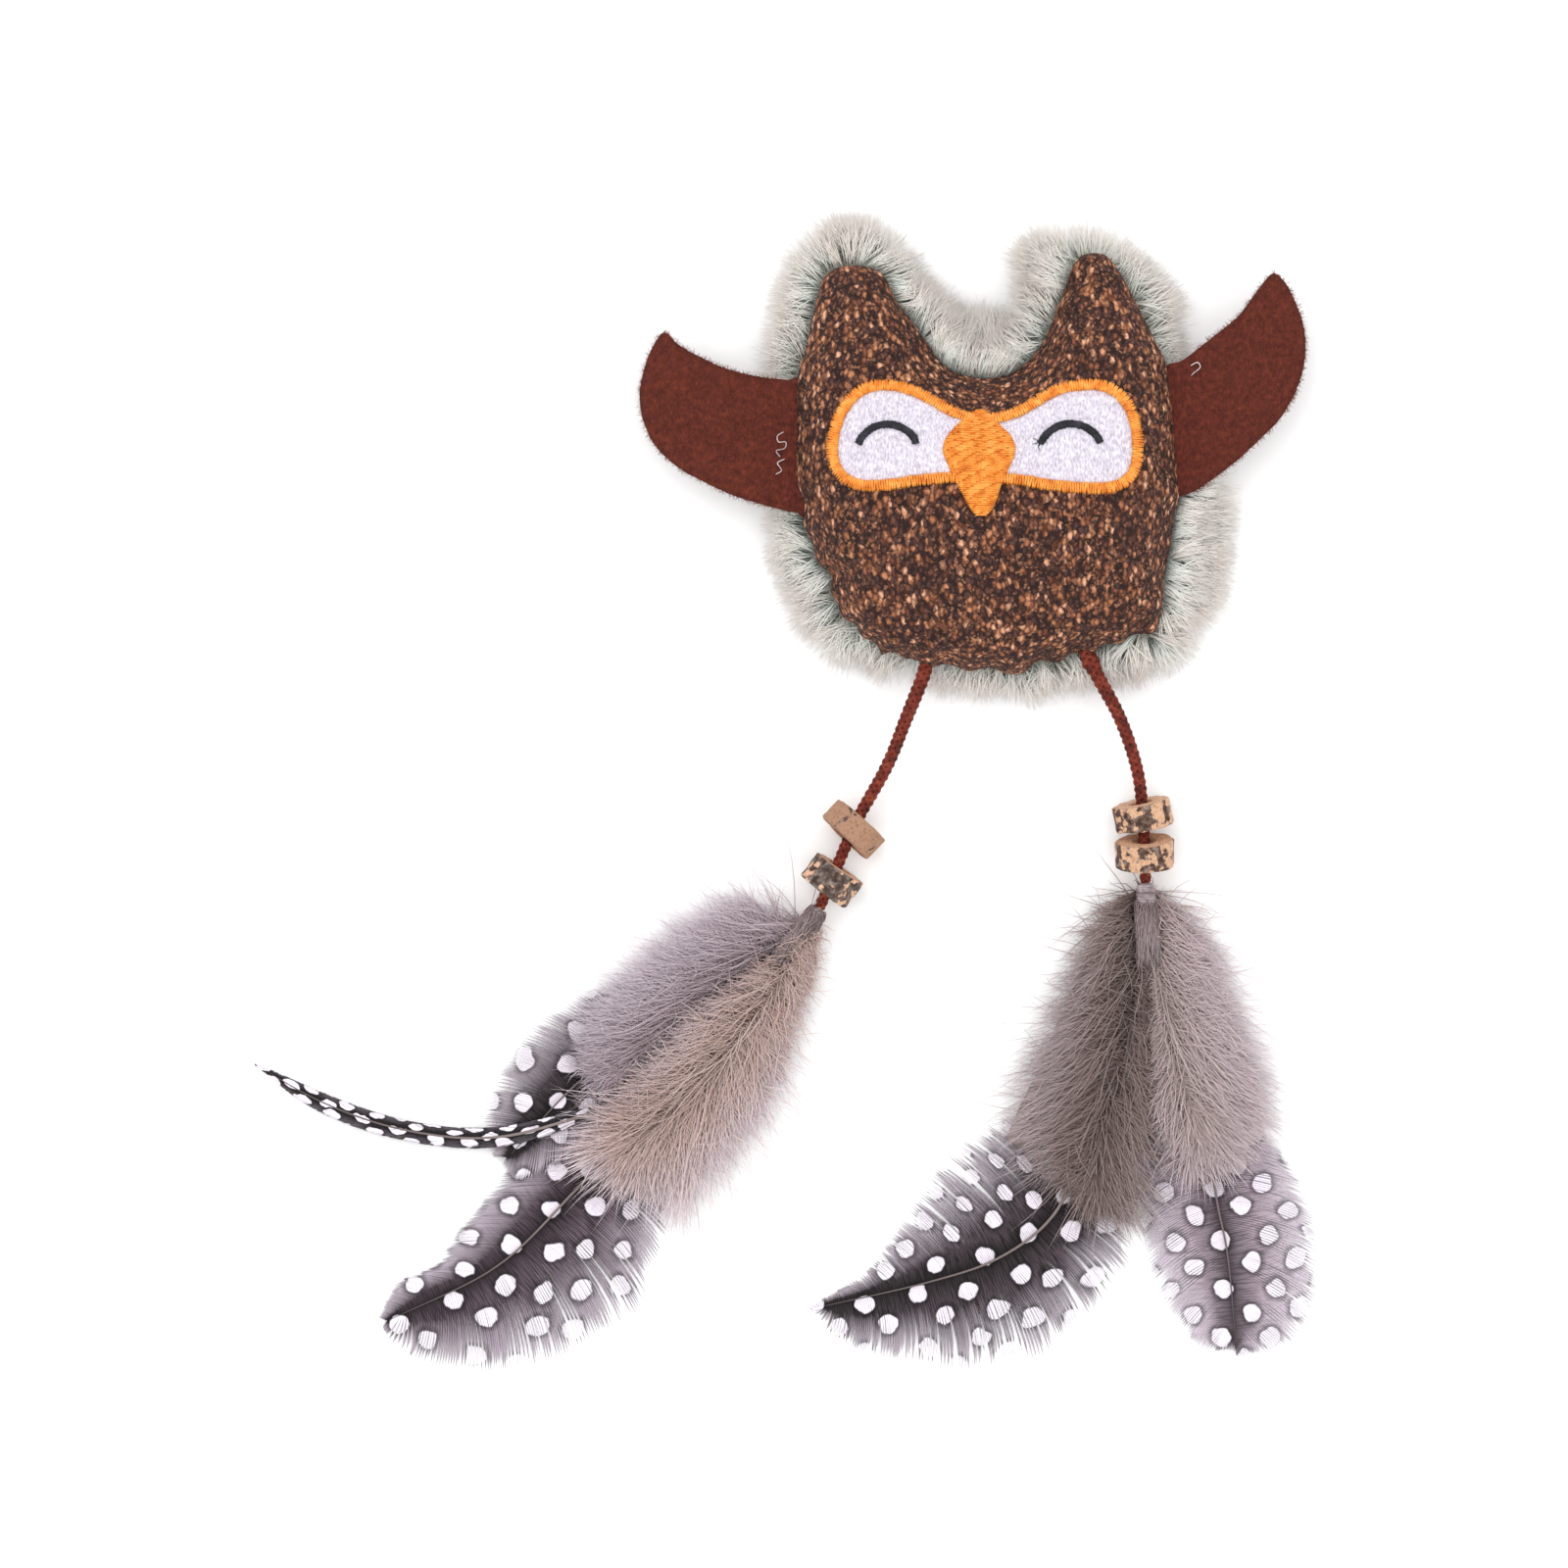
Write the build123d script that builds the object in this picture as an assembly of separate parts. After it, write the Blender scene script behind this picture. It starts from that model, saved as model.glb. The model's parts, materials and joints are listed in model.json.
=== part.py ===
"""A small stuffed owl that lies on its back, with felt wings and two cord legs that carry wooden
beads and bunches of spotted feathers. Millimetres, +Z up.

The origin is the middle of the flat face that the owl lies on. +X is the side of the right wing
as the face is seen, and +Y points to the ears.
"""
import os
from math import cos, pi, radians, sin, sqrt, tan

from build123d import *

# --- Body sizes -------------------------------------------------------------------------------
TORSO_WIDTH = 66.0
TORSO_HEIGHT = 72.0
FRONT_BULGE = 12.6
BACK_BULGE = 5.4
PILE_UNDER = 4.2
PILE_REACH_X = 7.0
PILE_REACH_Y = 5.5
CLOTH = 0.8

# --- Face, wings, cords and beads -------------------------------------------------------------
FELT_PATCH = 0.9
BORDER_WIDTH = 1.8
BORDER_HEIGHT = 1.6
BEAK_HEIGHT = 2.0
EYE_LINE = 1.1
EYE_HEIGHT = 1.5
WING_THICKNESS = 1.6
CORD_DIAMETER = 2.2
TIE_DIAMETER = 4.0
TIE_LENGTH = 4.0
TIE_BORE = 2.7
QUILL_DIAMETER = 0.8
VANE_THICKNESS = 0.5
TACK_DIAMETER = 0.4

# --- Clearances -------------------------------------------------------------------------------
SOFT_GAP = 0.3
INNER_GAP = 0.15
LAYER_GAP = 0.15
SIDE_SWELL = 1.0
TIE_GAP = 0.6

# --- Heights worked out from the sizes above --------------------------------------------------
SEAM_Z = PILE_UNDER + BACK_BULGE
WING_BOTTOM = SEAM_Z - WING_THICKNESS / 2
PILE_TOP = WING_BOTTOM - SOFT_GAP
CORD_Z = PILE_TOP + SOFT_GAP + CORD_DIAMETER / 2
CORD_REACH = CORD_DIAMETER / 2 + SOFT_GAP
LAYER_STEP = QUILL_DIAMETER + LAYER_GAP
FIRST_LAYER = LAYER_GAP + QUILL_DIAMETER / 2

# Outlines are shares of half the width and half the height, anticlockwise.
TORSO_OUTLINE = [
    (0.12, -0.98), (0.48, -0.90), (0.74, -0.82), (0.89, -0.74), (0.94, -0.42), (0.99, -0.11),
    (0.96, 0.21), (0.90, 0.52), (0.77, 0.78), (0.65, 0.97), (0.52, 1.00), (0.42, 0.88),
    (0.33, 0.68), (0.20, 0.49), (0.03, 0.43), (-0.14, 0.45), (-0.30, 0.58), (-0.45, 0.78),
    (-0.52, 0.90), (-0.68, 0.95), (-0.84, 0.89), (-0.89, 0.75), (-0.96, 0.49), (-0.99, 0.22),
    (-0.99, -0.03), (-0.92, -0.32), (-0.81, -0.53), (-0.75, -0.72), (-0.53, -0.90), (-0.24, -0.96),
]
PILE_OUTLINE = [
    (-0.55, 1.02), (-0.71, 0.96), (-0.82, 0.87), (-0.90, 0.73), (-0.94, 0.41), (-0.93, 0.14),
    (-0.94, -0.10), (-0.93, -0.33), (-0.85, -0.54), (-0.72, -0.71), (-0.53, -0.83), (-0.29, -0.89),
    (0.00, -0.95), (0.35, -0.95), (0.65, -0.87), (0.86, -0.75), (0.99, -0.58), (1.04, -0.39),
    (1.04, -0.19), (0.97, 0.05), (0.89, 0.24), (0.82, 0.48), (0.78, 0.72), (0.67, 0.90),
    (0.50, 0.96), (0.31, 0.99), (0.14, 0.91), (0.07, 0.78), (0.02, 0.68), (-0.05, 0.65),
    (-0.15, 0.70), (-0.28, 0.83), (-0.40, 0.96),
]
# How far each level of a stuffed dome is drawn in from its outline, as shares.
FRONT_STEPS = [0.0, 0.015, 0.05, 0.11, 0.20, 0.34, 0.52, 0.74]
BACK_STEPS = [0.0, 0.04, 0.12, 0.26]
TORSO_MIDDLE = (0, -3)
# The face is cut from blocks that start this far above the seam and end this far above the front.
BLOCK_REACH = 1.0
# The pile's own edge: height as a share of its top, and the step in from its outline.
PILE_EDGE = [(0.0, 2.4), (0.10, 0.9), (0.30, 0.0), (0.62, 0.1), (0.86, 1.3), (1.0, 3.4)]

PATCH_OUTLINE = [
    (-27.2, 2.6), (-25.4, 9.3), (-19.5, 13.9), (-12.0, 12.9), (-6.4, 9.9), (-1.2, 8.0), (4.7, 9.5),
    (11.4, 13.2), (19.2, 14.0), (24.5, 10.1), (26.1, 2.6), (23.7, -3.7), (15.2, -5.0), (5.8, -3.8),
    (-1.2, -3.2), (-8.7, -3.5), (-16.5, -4.5), (-24.3, -3.5),
]
BEAK_OUTLINE = [
    (-1.4, 9.0), (-5.3, 6.4), (-7.6, 2.6), (-6.1, -1.8), (-3.5, -6.5), (-1.2, -8.9), (1.2, -6.5),
    (3.0, -1.8), (4.5, 2.6), (2.3, 6.4),
]
EYES = {
    "left_eye": [(-21.9, 3.7), (-17.2, 6.7), (-12.2, 3.7)],
    "right_eye": [(8.8, 3.6), (14.0, 6.7), (18.9, 3.9)],
}

# A wing blank, in millimetres out from its root and up from the root's middle.
WING_OUTLINE = [
    (-6.0, 11.0), (0.0, 11.3), (8.9, 12.6), (16.3, 15.5), (21.4, 19.4), (23.6, 16.6), (25.6, 9.0),
    (23.7, 0.9), (18.8, -4.0), (9.9, -8.5), (0.0, -11.2), (-6.0, -12.2),
]
# For each wing, the ends of its root on the side seam as shares, and how far it is turned up.
WINGS = {
    "left_wing": {"side": -1, "top": (-0.985, 0.41), "foot": (-0.965, -0.225), "turn": 0.0},
    "right_wing": {"side": 1, "top": (0.930, 0.43), "foot": (1.000, -0.14), "turn": 20.0},
}
# Thread ends on each wing near its root: distance out, place along the root and loop width.
TACKS = {
    "left_wing_tack": {"wing": "left_wing", "loops": [(1.6, -1.2, 1.7), (1.9, 1.3, 1.5)]},
    "right_wing_tack": {"wing": "right_wing", "loops": [(1.7, 8.6, 1.3)]},
}

# Each cord's points, as steps from where it leaves the seam. exit is a share of the body.
CORDS = {
    "left_cord": {
        "exit": (-0.325, -0.952),
        "steps": [
            (0.0, 0.0, 0.0), (-1.6, -4.0, -0.5), (-3.4, -8.4, -1.9), (-5.0, -12.8, -3.3),
            (-6.8, -16.7, -4.3), (-9.0, -20.5, -4.7), (-11.3, -24.5, -4.75), (-13.6, -29.8, -4.65),
            (-15.7, -35.0, -4.75), (-17.7, -39.6, -4.95),
        ],
    },
    "right_cord": {
        "exit": (0.530, -0.885),
        "steps": [
            (0.0, 0.0, 0.0), (1.9, -3.8, -0.1), (4.5, -8.2, -1.2), (6.3, -12.4, -2.7),
            (7.7, -16.6, -3.9), (8.6, -20.4, -4.5), (9.0, -24.4, -4.7), (9.3, -29.0, -4.65),
            (9.45, -33.6, -4.4), (9.6, -37.6, -4.6),
        ],
    },
}
# Each bead: its cord, its distance back from the cord's end, its size, bore and axis.
BEADS = {
    "left_upper_bead": {
        "cord": "left_cord", "back": 14.6, "across": 10.2, "thick": 4.4, "bore": 4.6,
        "axis": (-0.68, -0.73, 0.06),
    },
    "left_lower_bead": {
        "cord": "left_cord", "back": 5.2, "across": 9.6, "thick": 5.0, "bore": 4.2,
        "axis": (-0.58, -0.81, -0.08),
    },
    "right_upper_bead": {
        "cord": "right_cord", "back": 11.4, "across": 9.8, "thick": 4.4, "bore": 4.2,
        "axis": (0.19, -0.96, -0.15),
    },
    "right_lower_bead": {
        "cord": "right_cord", "back": 4.9, "across": 10.0, "thick": 4.5, "bore": 4.2,
        "axis": (0.05, -0.96, -0.26),
    },
}
BEAD_BEVEL = 0.35
# A bend's arc takes this share of the shorter run beside it.
ARC_SHARE = 0.45
# How much of a quill's fall from the tie to its layer is left at the first point past the tie.
FIRST_FALL = 0.3
# A narrow feather's strip of vane starts at this point of its quill.
STRIP_START = 3

# Each plume: the direction of its tie and its feathers. A feather's quill runs from its place in
# the tie (across, up) through its points to its tip, and its vane is a flat leaf in one layer.
PLUMES = {
    "left": {
        "cord": "left_cord",
        "along": (-0.56, -0.83),
        "feathers": {
            "broad": {
                "seat": (0.5, -0.3), "layer": 0,
                "quill": [(-5.2, -9.0), (-14.0, -20.0), (-27.0, -33.0), (-41.0, -47.6), (-55.0, -61.2),
                          (-69.0, -70.5)],
                "vane": [(-30.0, -31.5), (-46.0, -40.0), (-54.4, -47.0), (-64.0, -60.5), (-71.0, -64.8),
                         (-74.2, -70.0), (-71.0, -74.0), (-64.0, -76.4), (-54.4, -76.6), (-45.5, -74.8),
                         (-38.0, -71.5), (-31.5, -66.0), (-28.0, -58.0), (-26.8, -49.0), (-26.0, -38.0)],
            },
            "curled": {
                "seat": (0.0, 0.6), "layer": 2, "strip": 2.8,
                "quill": [(-5.6, -8.0), (-13.5, -16.5), (-24.5, -26.5), (-36.0, -33.5), (-45.0, -36.2),
                          (-53.0, -38.2), (-61.0, -38.6), (-70.5, -37.2), (-79.0, -34.8), (-87.5, -31.2),
                          (-94.8, -27.2)],
            },
            "short": {
                "seat": (-0.5, -0.3), "layer": 1,
                "quill": [(-6.4, -7.6), (-18.0, -14.6), (-31.0, -22.6), (-42.0, -30.6), (-51.5, -40.0)],
                "vane": [(-31.0, -13.5), (-38.0, -14.0), (-43.0, -17.0), (-48.0, -22.5), (-52.0, -28.5),
                         (-54.2, -35.0), (-53.8, -41.0), (-50.0, -44.3), (-44.0, -43.0), (-37.0, -37.5),
                         (-31.0, -29.5), (-27.0, -21.0)],
            },
        },
    },
    "right": {
        "cord": "right_cord",
        "along": (0.03, -1.0),
        "feathers": {
            "dark": {
                "seat": (-0.5, 0.0), "layer": 0,
                "quill": [(-0.9, -8.0), (-2.6, -20.0), (-6.4, -33.5), (-9.6, -44.5), (-15.6, -56.6),
                          (-25.5, -64.8), (-37.5, -69.3), (-50.6, -72.8)],
                "vane": [(-56.6, -72.8), (-52.0, -76.6), (-44.7, -79.2), (-33.5, -80.6), (-24.3, -79.4),
                         (-17.0, -78.2), (-10.2, -70.2), (-5.2, -64.0), (-2.8, -53.5), (-7.0, -41.5),
                         (-14.7, -37.5), (-23.5, -40.0), (-30.4, -46.6), (-36.6, -55.4), (-45.9, -67.0)],
            },
            "pale": {
                "seat": (0.5, 0.0), "layer": 0,
                "quill": [(1.0, -8.0), (3.4, -20.0), (7.2, -33.0), (10.5, -43.0), (12.8, -55.4),
                          (14.5, -65.0), (15.9, -78.0)],
                "vane": [(5.6, -36.5), (3.0, -44.5), (0.8, -54.0), (1.8, -63.4), (3.6, -68.4),
                         (6.0, -73.2), (9.6, -79.2), (14.6, -80.6), (19.0, -80.0), (23.9, -76.9),
                         (27.0, -70.8), (27.6, -61.5), (26.4, -54.1), (24.0, -45.5), (18.5, -38.0),
                         (11.5, -34.5)],
            },
        },
    },
}
# Each mass of down: its plume, the layer it lies over, its height and its outline from the pivot.
DOWNS = {
    "left_front_down": {
        "plume": "left", "over": 2, "height": 8.0,
        "outline": [(-6.5, -10.5), (-0.5, -11.5), (-0.8, -20.0), (-3.2, -25.5), (-8.5, -37.2),
                    (-14.0, -43.8), (-22.0, -47.6), (-30.6, -46.5), (-36.2, -40.6), (-33.0, -31.0),
                    (-25.0, -21.5), (-15.5, -13.5)],
    },
    "left_back_down": {
        "plume": "left", "over": 1, "height": 8.0,
        "outline": [(-8.5, -3.5), (-15.0, -0.6), (-23.0, -0.6), (-30.0, -4.3), (-37.0, -11.5),
                    (-42.3, -17.7), (-41.5, -26.0), (-35.5, -29.0), (-27.0, -19.3), (-16.5, -10.4)],
    },
    "right_dark_down": {
        "plume": "right", "over": 0, "height": 9.8,
        "outline": [(-2.6, -10.0), (-6.5, -6.0), (-10.6, -5.6), (-11.9, -10.0), (-14.8, -14.6),
                    (-18.0, -21.0), (-21.7, -29.8), (-25.9, -38.6), (-27.6, -45.0), (-22.0, -51.5),
                    (-12.0, -53.5), (-4.0, -51.0), (-1.8, -42.0), (-1.2, -25.0)],
    },
    "right_pale_down": {
        "plume": "right", "over": 0, "height": 9.0,
        "outline": [(2.6, -10.0), (6.3, -7.0), (11.4, -9.2), (14.7, -12.5), (15.6, -18.0),
                    (17.6, -23.0), (19.2, -28.2), (22.2, -33.5), (23.4, -40.0), (21.5, -46.0),
                    (14.0, -50.0), (6.5, -49.0), (2.2, -42.0), (1.4, -25.0)],
    },
}


def sized(shares, half_width, half_height):
    """Points in millimetres from shares of a half width and a half height."""
    return [(x * half_width, y * half_height) for x, y in shares]


def closed_face(points, z=0.0):
    """A flat face inside one smooth closed curve through the points, at height z."""
    return Pos(0, 0, z) * make_face(Spline(*points, periodic=True))


def domed(outline, centre, base, height, steps=FRONT_STEPS):
    """A stuffed dome over an outline: each level is the outline drawn in towards the centre."""
    cx, cy = centre
    levels = []
    for step in steps:
        points = [(cx + (x - cx) * (1 - step), cy + (y - cy) * (1 - step)) for x, y in outline]
        levels.append(closed_face(points, base + height * sqrt(1 - (1 - step / steps[-1]) ** 2)))
    return loft(levels)


def front_dome(inset):
    """The torso's stuffed front, inset all round (or grown, below 0)."""
    outline = sized(TORSO_OUTLINE, TORSO_WIDTH / 2 - inset, TORSO_HEIGHT / 2 - inset)
    return domed(outline, TORSO_MIDDLE, SEAM_Z, FRONT_BULGE - inset)


def back_dome(inset):
    """The torso's flatter back, below the seam, inset all round (or grown, below 0)."""
    outline = sized(TORSO_OUTLINE, TORSO_WIDTH / 2 - inset, TORSO_HEIGHT / 2 - inset)
    dish = domed(outline, TORSO_MIDDLE, SEAM_Z, BACK_BULGE - inset, BACK_STEPS)
    return mirror(dish, Plane.XY.offset(SEAM_Z))


def front_panel():
    """The printed cloth: the stuffed front with a cloth's thickness of wall."""
    return front_dome(0) - front_dome(CLOTH)


def back_panel():
    """The backing cloth that the pile grows from, sewn to the front panel at the seam."""
    return back_dome(0) - back_dome(CLOTH)


def stuffing():
    """The filling, just inside both panels."""
    inset = CLOTH + INNER_GAP
    return front_dome(inset) + back_dome(inset)


def back_pile():
    """The plush pile: a flat-bottomed pad round and under the back panel."""
    half_width = TORSO_WIDTH / 2 + PILE_REACH_X
    half_height = TORSO_HEIGHT / 2 + PILE_REACH_Y
    levels = []
    for rise, inset in PILE_EDGE:
        points = sized(PILE_OUTLINE, half_width - inset, half_height - inset)
        levels.append(closed_face(points, rise * PILE_TOP))
    return loft(levels) - back_dome(-INNER_GAP)


def column(points):
    """An upright block inside a closed curve, from just above the seam up through the front."""
    return extrude(closed_face(points, SEAM_Z + BLOCK_REACH), FRONT_BULGE + BEAK_HEIGHT)


def on_front(block, low, high):
    """The part of a block between two heights over the front panel."""
    return (block & front_dome(-high)) - front_dome(-low)


def drawn_in(points, step):
    """The same closed curve with each point moved inwards by a step."""
    moved = []
    count = len(points)
    for i, (x, y) in enumerate(points):
        before = points[i - 1]
        after = points[(i + 1) % count]
        way = Vector(after[0] - before[0], after[1] - before[1]).normalized()
        moved.append((x - way.Y * step, y + way.X * step))
    return moved


def face_pieces():
    """The felt mask, its stitched border, the beak and the two eye lines."""
    patch = PATCH_OUTLINE[::-1]
    beak = column(BEAK_OUTLINE)
    inner = column(drawn_in(patch, BORDER_WIDTH))
    beak_room = column(drawn_in(BEAK_OUTLINE, -INNER_GAP))
    border = on_front(column(patch) - inner, INNER_GAP, BORDER_HEIGHT) - beak_room
    felt = column(drawn_in(patch, BORDER_WIDTH + INNER_GAP))
    pieces = {
        "eye_patch": on_front(felt, INNER_GAP, FELT_PATCH),
        "patch_border": border,
        "beak": on_front(beak, FELT_PATCH + INNER_GAP, BEAK_HEIGHT),
    }
    for name, (start, middle, end) in EYES.items():
        line = ThreePointArc(start, middle, end)
        band = Pos(0, 0, SEAM_Z + BLOCK_REACH) * make_face(offset(line, EYE_LINE / 2))
        pieces[name] = on_front(extrude(band, FRONT_BULGE + BEAK_HEIGHT), FELT_PATCH + INNER_GAP,
                                EYE_HEIGHT)
    return pieces


def wing_hinge(name):
    """A wing's hinge line: its top and foot, a wing's thickness outside the side seam."""
    wing = WINGS[name]
    top, foot = sized([wing["top"], wing["foot"]], TORSO_WIDTH / 2, TORSO_HEIGHT / 2)
    out = wing["side"] * (SIDE_SWELL + SOFT_GAP + WING_THICKNESS / 2)
    return Vector(top[0] + out, top[1], SEAM_Z), Vector(foot[0] + out, foot[1], SEAM_Z)


def wing_point(name, out, up):
    """A point of a wing, from its distance out from the root and its place along it."""
    wing = WINGS[name]
    top, foot = wing_hinge(name)
    turn = radians(wing["turn"])
    middle = (top + foot) * 0.5
    x = out * cos(turn) - up * sin(turn)
    y = out * sin(turn) + up * cos(turn)
    return middle.X + wing["side"] * x, middle.Y + y


def wing(name):
    """A flat felt wing, cut straight along its hinge line."""
    points = [wing_point(name, out, up) for out, up in WING_OUTLINE]
    blank = extrude(closed_face(points, WING_BOTTOM), WING_THICKNESS)
    top, foot = wing_hinge(name)
    along = (top - foot).normalized()
    reach = 4 * TORSO_WIDTH
    side = WINGS[name]["side"]
    keep = Plane(origin=(top + foot) * 0.5, x_dir=along, z_dir=(0, 0, 1))
    outside = keep * Pos(0, -side * reach / 2, 0) * Box(reach, reach, 4 * WING_THICKNESS)
    return blank & outside


def wing_tack(name):
    """Loose thread loops that lie on a wing beside its root."""
    tack = TACKS[name]
    z = SEAM_Z + WING_THICKNESS / 2 + TACK_DIAMETER / 2
    loops = []
    for out, up, width in tack["loops"]:
        start = (*wing_point(tack["wing"], out, up), z)
        middle = (*wing_point(tack["wing"], out + width, up + width / 2), z)
        end = (*wing_point(tack["wing"], out, up + width), z)
        loops.append(tube(ThreePointArc(start, middle, end), TACK_DIAMETER))
    return loops


def tube(path, diameter):
    """A round tube along a path, with flat ends."""
    end = Plane(origin=path @ 0, z_dir=path % 0)
    return sweep(end * Circle(diameter / 2), path=path)


def bent_path(points):
    """Straight runs joined by tangent arcs as large as the runs allow, with the arcs' radii."""
    points = [Vector(*p) for p in points]
    radii = []
    for before, here, after in zip(points, points[1:], points[2:]):
        turn = radians((here - before).get_angle(after - here))
        shorter = min((here - before).length, (after - here).length)
        radii.append(ARC_SHARE * shorter / tan(turn / 2))
    if not radii:
        return Line(points[0], points[-1]), radii
    return FilletPolyline(*points, radius=radii), radii


def cord_points(name):
    """A cord's route, from its exit at the seam to its end above the tie."""
    cord = CORDS[name]
    x, y = sized([cord["exit"]], TORSO_WIDTH / 2, TORSO_HEIGHT / 2)[0]
    start = Vector(x, y - CORD_REACH, CORD_Z)
    return [start + Vector(*step) for step in cord["steps"]]


def cord(name):
    """One limp braided cord, and a line of its radii and length for the log."""
    path, radii = bent_path(cord_points(name))
    body = tube(path, CORD_DIAMETER)
    section = pi * CORD_DIAMETER**2 / 4
    print(name, "radii", [round(r, 1) for r in radii], "length", round(path.length, 1),
          "volume share", round(body.volume / (section * path.length), 4))
    return body


def point_back(name, back):
    """The point of a cord's route that lies so far back from its end, and its direction there."""
    points = cord_points(name)[::-1]
    for nearer, farther in zip(points, points[1:]):
        run = (farther - nearer).length
        if back <= run:
            way = (nearer - farther).normalized()
            return nearer - way * back, way
        back -= run
    return points[-1], (points[-2] - points[-1]).normalized()


def bead(name):
    """One slice of a branch with a hole along the branch, threaded on its cord."""
    size = BEADS[name]
    centre, _ = point_back(size["cord"], size["back"])
    blank = Cylinder(size["across"] / 2, size["thick"])
    blank = chamfer(blank.edges().filter_by(GeomType.CIRCLE), BEAD_BEVEL)
    blank -= Cylinder(size["bore"] / 2, 2 * size["thick"])
    return Plane(origin=centre, z_dir=size["axis"]) * blank


def plume_pivot(side):
    """Where a plume swings: the end of its cord."""
    return cord_points(PLUMES[side]["cord"])[-1]


def tie_plane(side):
    """A frame at a plume's pivot: x across the plume, y up and z along it."""
    along = Vector(*PLUMES[side]["along"], 0).normalized()
    across = Vector(0, 0, 1).cross(along)
    return Plane(origin=plume_pivot(side), x_dir=across, z_dir=along)


def tie(side):
    """The thread binding round the quills, just past the cord's end."""
    body = Cylinder(TIE_DIAMETER / 2, TIE_LENGTH) - Cylinder(TIE_BORE / 2, TIE_LENGTH)
    return tie_plane(side) * Pos(0, 0, TIE_GAP + TIE_LENGTH / 2) * body


def layer_height(feather):
    """The height of the middle of a feather's vane."""
    return FIRST_LAYER + feather["layer"] * LAYER_STEP


def quill_points(side, feather):
    """A quill's route: out of the tie, down to its layer and along its vane."""
    pivot = plume_pivot(side)
    frame = tie_plane(side)
    across, up = feather["seat"]
    route = [frame.from_local_coords((across, up, TIE_GAP + QUILL_DIAMETER)),
             frame.from_local_coords((across, up, TIE_GAP + TIE_LENGTH + QUILL_DIAMETER))]
    low = layer_height(feather)
    for i, (x, y) in enumerate(feather["quill"]):
        share = FIRST_FALL if i == 0 else 0.0
        route.append(Vector(pivot.X + x, pivot.Y + y, low + (pivot.Z - low) * share))
    return route


def quill(side, feather):
    """One round quill along its route."""
    path, _ = bent_path(quill_points(side, feather))
    return tube(path, QUILL_DIAMETER)


def strip_outline(line, width):
    """A long narrow leaf round a line of points, pointed at both ends."""
    upper = []
    lower = []
    for before, here, after in zip(line, line[1:], line[2:]):
        way = Vector(after[0] - before[0], after[1] - before[1]).normalized()
        upper.append((here[0] - way.Y * width / 2, here[1] + way.X * width / 2))
        lower.append((here[0] + way.Y * width / 2, here[1] - way.X * width / 2))
    return [line[0], *upper, line[-1], *lower[::-1]]


def vane(side, feather):
    """One flat vane in its own layer."""
    pivot = plume_pivot(side)
    if "vane" in feather:
        outline = feather["vane"]
    else:
        outline = strip_outline(feather["quill"][STRIP_START:], feather["strip"])
    points = [(pivot.X + x, pivot.Y + y) for x, y in outline]
    return extrude(closed_face(points, layer_height(feather) - VANE_THICKNESS / 2), VANE_THICKNESS)


def down(name):
    """One mass of down above the quills."""
    mass = DOWNS[name]
    pivot = plume_pivot(mass["plume"])
    outline = [(pivot.X + x, pivot.Y + y) for x, y in mass["outline"]]
    centre = (sum(x for x, _ in outline) / len(outline), sum(y for _, y in outline) / len(outline))
    base = FIRST_LAYER + mass["over"] * LAYER_STEP + QUILL_DIAMETER / 2 + SOFT_GAP
    return domed(outline, centre, base, mass["height"])


def build():
    """Every node of the owl, by name."""
    nodes = {
        "front_panel": front_panel(),
        "back_panel": back_panel(),
        "back_pile": back_pile(),
        "stuffing": stuffing(),
        **face_pieces(),
    }
    for name in WINGS:
        nodes[name] = wing(name)
    for name in TACKS:
        nodes[name] = wing_tack(name)
    for name in CORDS:
        nodes[name] = cord(name)
    for name in BEADS:
        nodes[name] = bead(name)
    for side, plume in PLUMES.items():
        nodes[f"{side}_tie"] = tie(side)
        for kind, feather in plume["feathers"].items():
            nodes[f"{side}_{kind}_quill"] = quill(side, feather)
            nodes[f"{side}_{kind}_vane"] = vane(side, feather)
    for name in DOWNS:
        nodes[name] = down(name)
    return nodes


def write(nodes):
    """One STEP file for each node."""
    os.makedirs("parts", exist_ok=True)
    for name, shape in nodes.items():
        pieces = shape if isinstance(shape, list) else [shape]
        solids = [solid for piece in pieces for solid in piece.solids()]
        body = Compound(children=solids) if len(solids) > 1 else solids[0]
        body.label = name
        export_step(body, f"parts/{name}.step")


if __name__ == "__main__":
    write(build())
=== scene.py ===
"""Studio scene of a small stuffed owl that lies on its back, with felt wings, cord legs, wooden
slice beads and plumes of spotted feathers. Lengths are in metres unless a name ends in _mm.
"""
import json
import logging
import math
from dataclasses import dataclass, field
from enum import StrEnum
from typing import Callable, Sequence

import bmesh
import bpy
import numpy as np
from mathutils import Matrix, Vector, noise
from mathutils.bvhtree import BVHTree
from mathutils.geometry import delaunay_2d_cdt


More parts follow.
